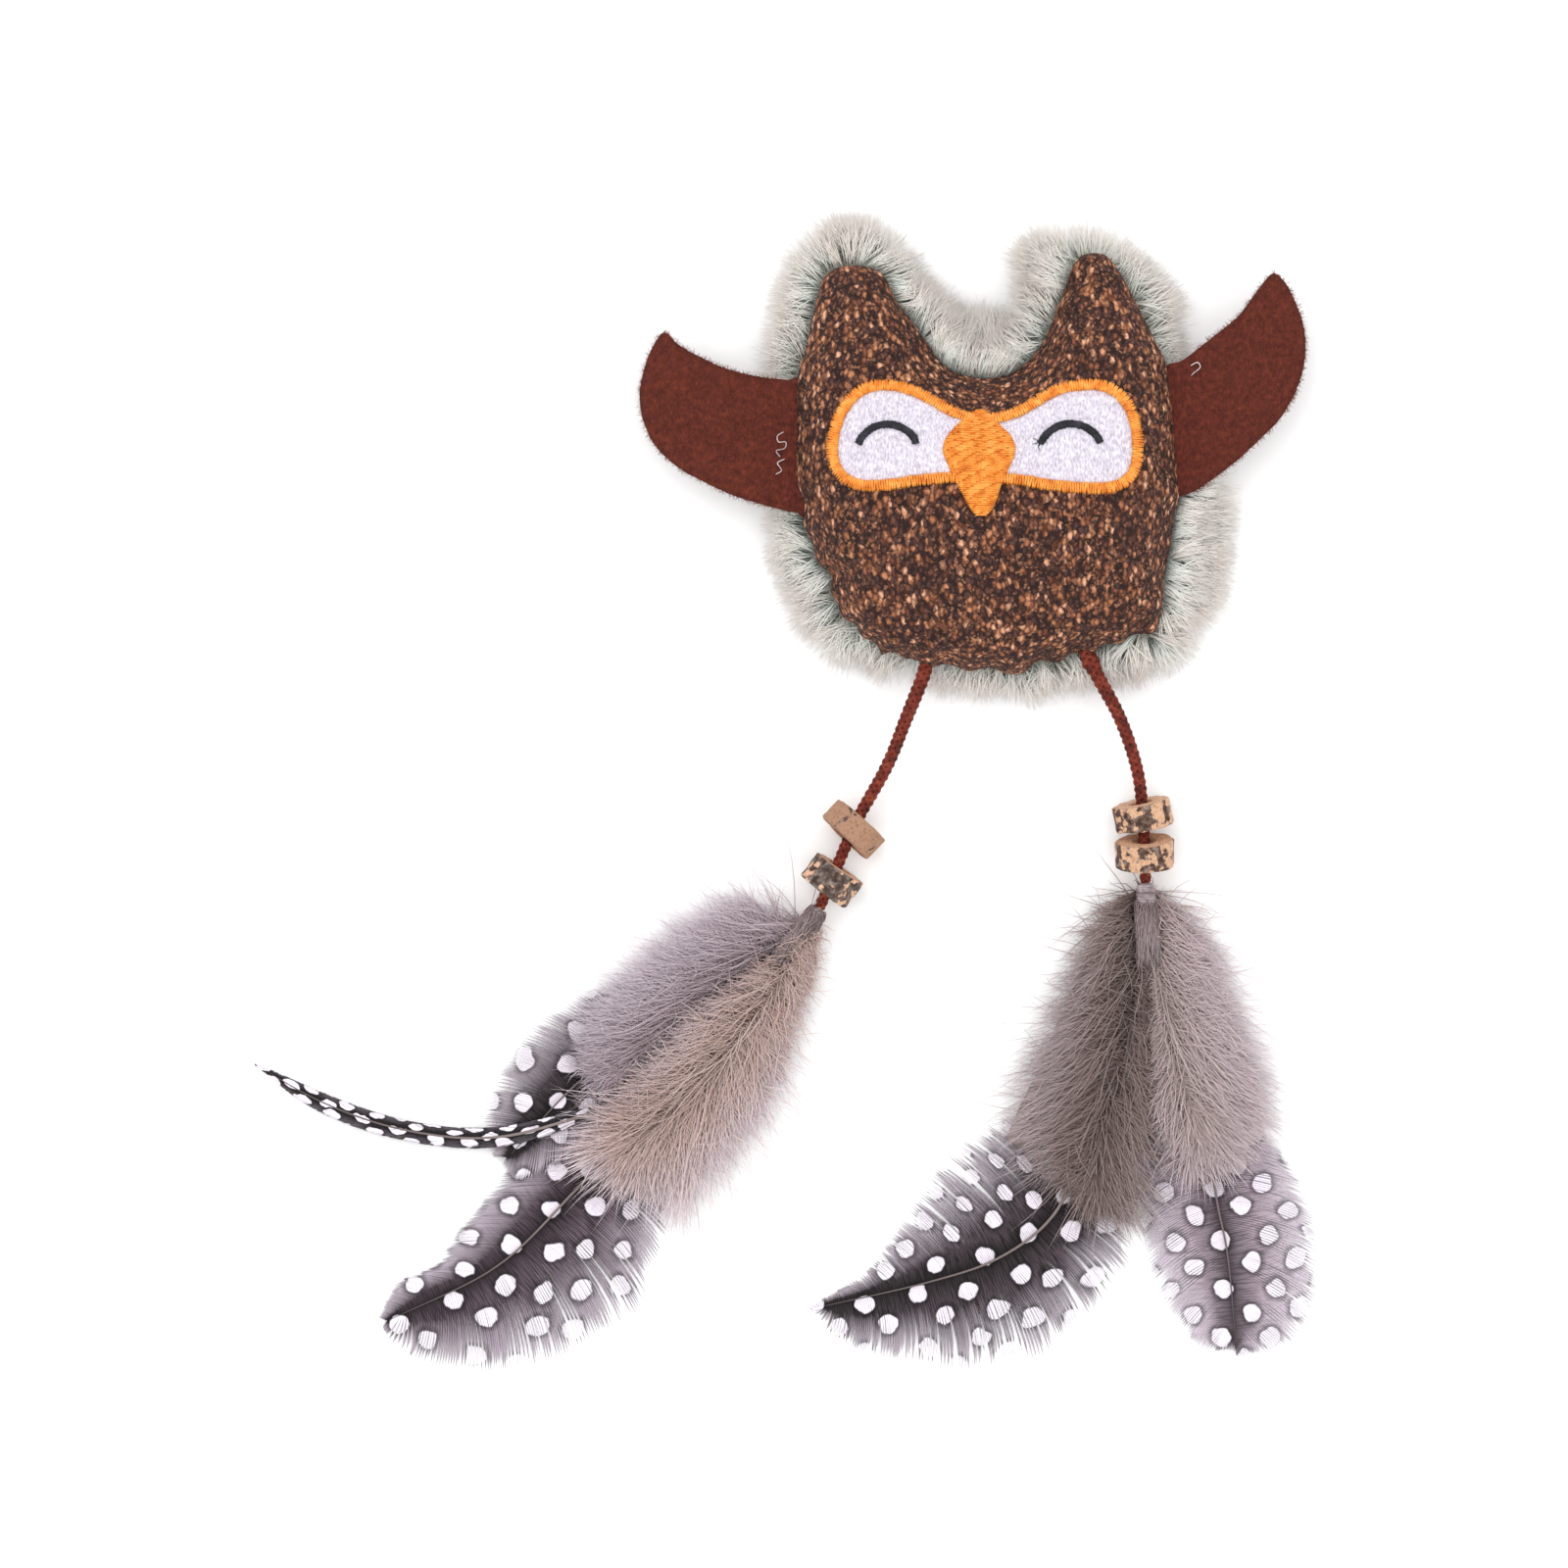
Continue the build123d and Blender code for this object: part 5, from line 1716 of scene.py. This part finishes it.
@dataclass
class Down:
    """A mass of down round a feather's base: many fine soft barbs that run out from its shaft.

    Places are in millimetres from the plume's pivot.
    """

    name: str
    outline: list
    axis: list
    finish: Finish
    height_mm: float = 8.0
    base_mm: float = 1.3
    count: int = 6300
    tuft: int = 9
    longest_mm: float = 26.0
    left_share: float = 0.5
    lap_mm: tuple = (0.0, 0.0)
    core_inset_mm: float = 4.2
    under_share: float = 0.22
    flyaway: float = 0.24
    fade_mm: float = 15.0

    def build(self, side: Side, pivot: Array, rng: Random) -> None:
        """Makes the soft core and its barbs.

        Args:
            side: which plume it is tied into.
            pivot: the plume's pivot.
            rng: varies the barbs.
        """
        middle = np.array(pivot[:2]) / MM
        loop = ccw(smooth_loop(np.array(self.outline) + middle, 1.2))
        line = smooth_line(np.array(self.axis, float) + middle, 0.5) * MM
        dome = lambda away: rounded(away, 11 * MM) ** 0.8 * self.height_mm * MM
        core = inset_loop(loop, self.core_inset_mm * MM)
        core = core[inside(core, loop) & (edge_distance(core, loop) > self.core_inset_mm * 0.9 * MM)]
        top = lambda p, away: self.base_mm * MM + dome(away) * 0.62 + 0.5 * MM * noise_at(p, 3.5 * MM, 2.0)
        bottom = lambda p, away: np.full(len(p), self.base_mm * MM - 0.1 * MM)
        vertices, faces = slab(core, 1.2 * MM, bottom, top)
        # The core takes a colour close to the darker root colour: painted shade inside the down.
        tint = strand_values(0.1, 0.6, len(vertices))
        obj = piece(f"{side}_{self.name}_fluff", vertices, faces, self.finish, tint)
        ride(obj, side + "_plume")
        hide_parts(f"{side}_{self.name}")
        self.barbs(loop, line, dome, side, rng)

    def barbs(self, loop: Array, line: Array, dome: Callable, side: Side, rng: Random) -> None:
        """Runs tufts of fine barbs out from the shaft on both sides, swept towards its tip.

        Args:
            loop: the down's outline.
            line: the shaft that the barbs grow from.
            dome: gives the down's height over its base from the distance to the outline.
            side: which plume it belongs to.
            rng: varies the barbs.
        """
        groups = self.count // self.tuft
        share = rng.uniform(0.0, 1.0, groups) ** 0.85
        place = np.clip((share * len(line)).astype(int), 0, len(line) - 1)
        way = ways_along(line)[place]
        hand = np.where(rng.uniform(0, 1, groups) < self.left_share, 1, -1)
        spread = np.interp(share, [0, 0.15, 0.75, 1], [78, 70, 52, 14]) + rng.normal(0, 20, groups)
        out = turned(way, np.radians(spread * hand))
        far = reach_of(line[place], out, loop) + np.where(hand > 0, *self.lap_mm) * share * MM
        reach = np.minimum(far, self.longest_mm * MM) * rng.uniform(0.35, 1.0, groups) ** 0.5
        begin = rng.uniform(0.0, 0.55, groups) * (rng.uniform(0, 1, groups) < 0.6)
        index = np.repeat(np.arange(groups), self.tuft)
        count = len(index)
        stray = rng.uniform(0, 1, count) < self.flyaway
        fan = turned(out[index], rng.normal(0, 0.19, count) + stray * rng.normal(0, 0.7, count))
        root = (line[place] + out * (reach * begin)[:, None])[index] + rng.normal(0, 0.5 * MM, (count, 2))
        length = (reach * (1 - begin))[index] * rng.uniform(0.6, 1.06, count)
        length = length + stray * rng.uniform(0.2, 2.0, count) * MM
        t = np.linspace(0, 1, 6)[None, :]
        sweep = (0.16 + rng.normal(0, 0.07, groups)[index]) * length
        swing = (rng.uniform(0.1, 0.6, count) + stray * 0.5)[:, None] * MM
        turns, phase = rng.uniform(3, 8, count)[:, None], rng.uniform(0, 6, count)[:, None]
        wave = swing * np.sin(t * turns + phase) * t
        bow = way[index][:, None] * (sweep[:, None] * (t**2 - t * 0.6))[:, :, None]
        plan = root[:, None] + fan[:, None] * (length[:, None] * t)[:, :, None] + bow
        plan = plan + leftward(fan)[:, None] * wave[:, :, None]
        low = self.base_mm * MM
        depth = lambda p: edge_distance(p, loop) * inside(p, loop)
        root_z = low + dome(depth(root)) * 0.75 * rng.uniform(0.55, 1.0, count)
        end_z = low + dome(depth(plan[:, -1])) * rng.uniform(0.3, 1.0, count)
        under = rng.uniform(0, 1, count) < self.under_share
        drop = rng.uniform(0.3, 3.2, count) * MM
        root_z = np.where(under, low - 0.25 * MM - 0.2 * drop, root_z)
        end_z = np.where(under, low - 1.15 * MM + 0.6 * drop, end_z)
        arch = np.maximum(root_z, end_z) + rng.uniform(0.2, 1.5, count) * MM
        mid_z = np.where(under, low - 0.3 * drop, arch)
        z = (1 - t) ** 2 * root_z[:, None] + 2 * t * (1 - t) * mid_z[:, None] + t**2 * end_z[:, None]
        z = np.clip(z, 0.25 * MM, low + (self.height_mm + 0.8) * MM)
        radii = np.array([1.0, 0.95, 0.85, 0.7, 0.5, 0.3])[None] * rng.uniform(0.065, 0.125, (count, 1)) * MM
        tone = np.clip(rng.uniform(0, 1, groups)[index] * 0.5 + rng.uniform(-0.2, 0.55, count), 0, 1)
        paths = np.concatenate([plan, z[:, :, None]], axis=2)
        obj = tufts(f"{side}_{self.name}_barbs", paths, radii, self.finish, rng, tone)
        # Barbs near the shaft take the root colour and those further out the tip colour: the down's own
        # change of hue, and the darker root colour is painted shade.
        spots = np.array([v.co[:2] for v in obj.data.vertices])
        far = np.sqrt(((spots[:, None] - line[None, ::4]) ** 2).sum(2)).min(1) / (self.fade_mm * MM)
        strand = obj.data.attributes["strand"]
        values = np.empty(len(spots) * 3, np.float32)
        strand.data.foreach_get("vector", values)
        values = values.reshape(-1, 3)
        values[:, 0] = np.clip(far * 0.75 + values[:, 0] ** 2 * 0.4, 0, 1)
        strand.data.foreach_set("vector", values.ravel())
        ride(obj, side + "_plume")


@dataclass
class Plume:
    """A tie with its feathers and down, swinging together at the end of a leg."""

    side: Side
    tie: ThreadTie
    feathers: list
    downs: list
    neck_start_mm: float
    neck_fibres: int = 900

    def neck(self, rng: Random) -> None:
        """Bundles the bare stems in loose fibres from the tie into the down."""
        centre, axis, side, over = self.tie.axes()
        count = self.neck_fibres
        t = np.linspace(0, 1, 8)[None]
        run = rng.uniform(self.neck_start_mm, 5.0, count)[:, None]
        run = run + rng.uniform(1.5, 8.0, count)[:, None] * t
        angle = rng.uniform(0, 2 * math.pi, count)[:, None] + rng.normal(0, 0.5, count)[:, None] * t
        away = np.interp(run, [-2.5, 0, 3, 7, 12], [1.5, 1.75, 1.8, 1.9, 2.4])
        away = away * rng.uniform(0.72, 1.12, (count, 1))
        away = away + 0.16 * np.sin(t * rng.uniform(4, 11, (count, 1)) + rng.uniform(0, 6, (count, 1)))
        paths = centre + axis * (run * MM)[:, :, None] + around(side, over, angle, away * MM)
        paths[:, :, 2] = np.maximum(paths[:, :, 2], 0.3 * MM)
        taper = np.array([0.5, 0.9, 1, 1, 0.9, 0.8, 0.6, 0.3])[None]
        radii = taper * rng.uniform(0.06, 0.13, (count, 1)) * MM
        obj = tufts(self.side + "_neck_fibres", paths, radii, NECK_FIBRE, rng)
        ride(obj, self.side + "_plume")

    def build(self, rng: Random) -> None:
        """Makes each feather and each mass of down."""
        pivot = np.array(joint_named(self.side + "_plume_swing")["pos_m"])
        self.tie.build(rng)
        self.neck(rng)
        for part in [*self.feathers, *self.downs]:
            part.build(self.side, pivot, rng)


@dataclass
class Studio:
    """White paper, even daylight and the camera straight above."""

    centre_mm: tuple = (-34.5, -54.2)
    framing_mm: float = 266.7
    lens_mm: float = 250.0
    sensor_mm: float = 36.0
    subject_mm: float = 8.0
    daylight: float = 1.10

    def paper(self) -> None:
        """Lays the paper that the owl lies on."""
        select_only(None)
        bpy.ops.mesh.primitive_plane_add(size=3.0, location=(0, 0, 0))
        sheet = bpy.context.object
        sheet.name = "studio_paper"
        sheet.data.materials.append(PAPER.make())

    def light(self, name: str, place: tuple, size: float, power: float) -> None:
        """Adds a round soft box that looks at the owl.

        Args:
            name: the light's name.
            place: where it stands, in metres.
            size: its diameter in metres.
            power: its power in watts.
        """
        data = bpy.data.lights.new(name, "AREA")
        data.shape = "DISK"
        data.size = size
        data.energy = power
        lamp = bpy.data.objects.new(name, data)
        lamp.location = place
        aim = Vector((self.centre_mm[0] * MM, self.centre_mm[1] * MM, 0)) - Vector(place)
        lamp.rotation_euler = aim.to_track_quat("-Z", "Y").to_euler()
        bpy.context.scene.collection.objects.link(lamp)

    def build(self) -> None:
        """Sets the paper, the lights, the surround and the camera."""
        self.paper()
        self.light("key_box", (-0.36, 0.34, 1.1), 1.3, 4.6)
        self.light("fill_box", (0.45, -0.3, 1.0), 1.2, 1.8)
        world = bpy.data.worlds.new("daylight")
        world.use_nodes = True
        surround = world.node_tree.nodes["Background"]
        surround.inputs["Color"].default_value = (1, 1, 1, 1)
        surround.inputs["Strength"].default_value = self.daylight
        bpy.context.scene.world = world
        bpy.context.scene.view_settings.view_transform = "Standard"
        data = bpy.data.cameras.new("above")
        data.lens = self.lens_mm
        data.sensor_width = self.sensor_mm
        camera = bpy.data.objects.new("above", data)
        away = self.framing_mm * self.lens_mm / self.sensor_mm + self.subject_mm
        camera.location = (self.centre_mm[0] * MM, self.centre_mm[1] * MM, away * MM)
        bpy.context.scene.collection.objects.link(camera)
        bpy.context.scene.camera = camera


LEFT_WING = [
    (-54.8, 22.6), (-52.6, 20.6), (-49.7, 18.8), (-45.9, 17.0), (-42.3, 15.8), (-38.2, 14.9),
    (-33.8, 14.5), (-31.0, 14.4), (-30.4, 3.0), (-30.6, -8.2), (-32.4, -8.1), (-35.7, -7.4), (-39.5, -6.3),
    (-43.3, -5.1), (-48.4, -2.7), (-52.2, -0.6), (-55.3, 2.0), (-57.1, 4.4), (-58.4, 7.5), (-59.0, 10.5),
    (-58.9, 13.4), (-58.1, 16.9), (-56.7, 20.3)]
RIGHT_WING = [
    (48.7, 32.6), (47.0, 31.0), (44.6, 27.8), (42.5, 25.1), (37.4, 21.0), (33.2, 17.8), (30.0, 16.0),
    (30.3, 6.0), (31.2, -4.9), (33.1, -5.2), (35.3, -4.4), (38.9, -2.0), (42.5, 0.8), (46.3, 4.3),
    (49.3, 7.3), (51.4, 10.4), (53.0, 13.9), (53.9, 17.4), (54.1, 21.0), (53.5, 24.8), (52.3, 27.9),
    (50.8, 30.8)]
LEFT_ROUTE = [
    (-10.2, -33.6, 10.0), (-10.725, -35.672, 9.9), (-12.325, -39.672, 9.4), (-14.125, -44.072, 8.0),
    (-15.725, -48.472, 6.6), (-17.525, -52.372, 5.6), (-19.725, -56.172, 5.2), (-22.025, -60.172, 5.15),
    (-24.325, -65.472, 5.25), (-26.425, -70.672, 5.15), (-28.425, -75.272, 4.95)]
RIGHT_ROUTE = [
    (16.6, -31.4, 10.0), (17.49, -33.26, 9.9), (19.39, -37.06, 9.8), (21.99, -41.46, 8.7),
    (23.79, -45.66, 7.2), (25.19, -49.86, 6.0), (26.09, -53.66, 5.4), (26.49, -57.66, 5.2),
    (26.79, -62.26, 5.25), (26.94, -66.86, 5.5), (27.09, -70.86, 5.3)]


def make_legs() -> None:
    """Makes both cords with their beads."""
    beads = {
        Side.LEFT: [
            SliceBead("left_upper_bead", 10.4, 4.4, 4.6, (-0.68, -0.73, 0.06), PEELED_WOOD, 1.3, 0.10),
            SliceBead("left_lower_bead", 9.6, 5.0, 4.2, (-0.58, -0.81, -0.08), GREY_WOOD, 4.2, 0.08),
        ],
        Side.RIGHT: [
            SliceBead("right_upper_bead", 9.8, 4.4, 4.2, (0.19, -0.96, -0.15), WOOD, 7.7, 0.06),
            SliceBead("right_lower_bead", 10.0, 4.5, 4.2, (0.05, -0.96, -0.26), WOOD, 9.1, 0.05),
        ],
    }
    for side, route, fold in ((Side.LEFT, LEFT_ROUTE, 0.0), (Side.RIGHT, RIGHT_ROUTE, 0.35)):
        made = [bead.build() for bead in beads[side]]
        LegCord(side, route, made, fold_mm=fold).build()


def make_plumes(rng: Random) -> None:
    """Makes both plumes."""
    broad = Feather(
        "broad",
        [(-5.2, -9.0), (-14.0, -20.0), (-27.0, -33.0), (-41.0, -47.6), (-55.0, -61.2), (-73.5, -70.5)],
        [(-47.0, -38.0), (-60.3, -53.5), (-65.2, -60.8), (-72.1, -64.3), (-75.2, -70.0)],
        [(-30.0, -36.0), (-26.2, -47.0), (-27.0, -58.0), (-29.6, -62.3), (-30.8, -68.0), (-38.3, -73.4),
         (-46.4, -77.2), (-55.6, -78.8), (-65.4, -77.9), (-72.6, -74.6), (-75.4, -70.4)],
        BROAD_VANE, start=0.50, seat=(0.5, -0.3))
    short = Feather(
        "short",
        [(-6.4, -7.6), (-18.0, -14.6), (-31.0, -22.6), (-42.0, -30.6), (-53.0, -42.5)],
        [(-27.0, -19.0), (-31.0, -12.5), (-38.0, -13.5), (-43.0, -16.5), (-49.5, -21.5), (-54.0, -27.5),
         (-57.0, -36.0), (-55.5, -43.5)],
        [(-26.0, -21.0), (-30.0, -30.0), (-37.0, -38.0), (-45.0, -44.5), (-52.0, -46.5), (-54.0, -43.8)],
        DARK_VANE, start=0.42, layer_mm=1.5, seat=(-0.5, -0.3))
    curled = Feather(
        "curled",
        [(-5.6, -8.0), (-13.5, -16.5), (-24.5, -26.5), (-36.0, -33.8), (-45.0, -36.9), (-53.0, -38.9),
         (-61.0, -39.3), (-70.5, -38.0), (-79.0, -35.6), (-87.5, -31.9), (-96.2, -26.8)],
        [(-44.0, -38.2), (-53.0, -40.6), (-61.0, -41.1), (-70.7, -39.8), (-79.4, -37.4), (-88.0, -33.4),
         (-96.4, -26.8)],
        [(-45.0, -35.5), (-53.0, -37.2), (-61.0, -37.6), (-70.2, -36.4), (-78.5, -34.0), (-87.2, -30.5),
         (-96.2, -26.4)],
        BARRED_VANE, start=0.44, layer_mm=2.45, barb_mm=0.30, sweep=0.07, seat=(0.0, 0.6))
    dark = Feather(
        "dark",
        [(-0.9, -8.0), (-2.6, -20.0), (-6.4, -33.5), (-9.8, -44.5), (-15.4, -56.7), (-24.6, -64.1),
         (-36.9, -68.4), (-57.0, -73.0)],
        [(-2.0, -38.0), (-1.6, -52.0), (-2.6, -64.0), (-8.4, -72.6), (-16.2, -80.2), (-24.6, -82.2),
         (-33.9, -83.0), (-45.0, -81.4), (-52.8, -77.8), (-57.4, -72.8)],
        [(-11.0, -36.0), (-21.0, -39.0), (-32.0, -45.2), (-38.4, -54.0), (-47.4, -66.2), (-57.0, -72.4)],
        DARK_VANE, start=0.42, ragged=0.22, sweep=0.14, seat=(-0.5, 0.0))
    pale = Feather(
        "pale",
        [(1.0, -8.0), (3.4, -20.0), (7.2, -33.0), (10.4, -43.0), (12.4, -54.9), (14.2, -64.1),
         (15.6, -79.0)],
        [(11.0, -38.0), (20.8, -43.8), (27.4, -53.0), (29.1, -61.0), (28.7, -71.2), (25.2, -78.2),
         (19.0, -80.6), (15.8, -81.2)],
        [(8.0, -38.0), (1.0, -46.0), (-0.6, -53.6), (0.3, -63.3), (2.1, -68.5), (4.8, -73.6), (9.0, -79.4),
         (15.2, -80.2)],
        PALE_VANE, start=0.46, seat=(0.5, 0.0))
    warm = Down(
        "front_down",
        [(-2.4, -2.5), (0.4, -4.5), (-0.6, -12.0), (-3.0, -21.0), (-6.4, -30.5), (-10.0, -38.5),
         (-14.5, -44.5), (-19.0, -50.5), (-25.5, -57.0), (-28.5, -51.0), (-34.0, -47.5), (-42.0, -43.5),
         (-38.0, -34.0), (-26.0, -20.5), (-15.5, -11.5), (-7.0, -5.0)],
        [(-1.0, -2.0), (-4.0, -8.0), (-10.5, -18.0), (-19.0, -29.0), (-31.0, -40.0)],
        WARM_DOWN, height_mm=8.2, base_mm=2.6, left_share=0.60, lap_mm=(3.0, 5.5), fade_mm=12.0)
    lilac = Down(
        "back_down",
        [(-1.5, -2.4), (-6.0, -2.2), (-10.8, -0.6), (-15.0, 1.4), (-18.5, 3.0), (-23.6, 0.2),
         (-29.5, -5.2), (-37.5, -12.5), (-42.5, -19.5), (-41.5, -28.0), (-35.0, -31.0), (-27.0, -22.0),
         (-16.5, -12.5), (-6.0, -6.5)],
        [(-1.8, -3.0), (-7.5, -7.0), (-16.5, -13.5), (-26.0, -21.5), (-34.0, -28.5)],
        GREY_DOWN, height_mm=7.4, base_mm=2.2, left_share=0.12, lap_mm=(4.0, 1.0))
    brown = Down(
        "dark_down",
        [(-1.0, -4.0), (-6.5, -2.6), (-11.0, -5.0), (-12.0, -10.0), (-15.0, -14.6), (-18.2, -21.0),
         (-21.9, -29.8), (-26.0, -38.6), (-28.0, -44.8), (-22.0, -50.0), (-12.0, -54.5), (-5.0, -58.5),
         (-1.0, -61.0), (1.5, -54.0), (2.0, -42.0), (1.5, -25.0), (1.0, -10.0)],
        [(0.0, -1.0), (-0.8, -10.0), (-2.2, -22.0), (-5.0, -34.0), (-7.5, -44.0), (-9.0, -52.0)],
        DARK_DOWN, height_mm=9.0, base_mm=1.25, left_share=0.36, lap_mm=(4.0, 1.0))
    soft = Down(
        "pale_down",
        [(1.0, -5.0), (6.0, -6.0), (11.5, -8.6), (15.0, -12.5), (16.0, -18.0), (17.6, -23.0),
         (19.4, -28.2), (22.6, -33.5), (24.2, -42.0), (21.0, -48.0), (13.0, -50.5), (5.0, -50.0),
         (0.5, -42.0), (0.5, -25.0)],
        [(0.5, -1.0), (1.3, -10.0), (2.8, -20.0), (5.5, -32.0), (9.0, -42.0)],
        PALE_DOWN, height_mm=9.0, base_mm=1.25, left_share=0.62, lap_mm=(1.0, 4.5))
    left, right = ThreadTie(Side.LEFT, (-0.56, -0.83)), ThreadTie(Side.RIGHT, (0.03, -1.0))
    Plume(Side.LEFT, left, [broad, short, curled], [lilac, warm], neck_start_mm=-2.6).build(rng)
    Plume(Side.RIGHT, right, [dark, pale], [brown, soft], neck_start_mm=0.4).build(rng)


def main() -> None:
    """Builds the owl and its studio."""
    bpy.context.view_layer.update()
    rng = np.random.default_rng(20)
    Studio().build()
    make_legs()
    panel = FrontPanel()
    Face(panel.build()).build(rng)
    PlushBack(panel.outline, [LEFT_WING, RIGHT_WING]).build(rng)
    FeltWing(Side.LEFT, LEFT_WING).build(rng)
    FeltWing(Side.RIGHT, RIGHT_WING).build(rng)
    SewingThreads(Side.LEFT, [
        [(-34.6, 5.6), (-35.6, 4.9), (-35.4, 3.9), (-34.2, 3.9), (-34.4, 2.8), (-35.8, 2.4), (-35.2, 1.4)],
        [(-34.4, 1.0), (-35.6, 0.3), (-34.9, -0.9), (-35.9, -1.6)]]).build()
    SewingThreads(Side.RIGHT, [[(34.6, 16.9), (35.7, 17.4), (36.2, 16.6), (35.2, 15.7),
                                (34.7, 15.2)]]).build()
    make_plumes(rng)


if __name__ == "__main__":
    main()
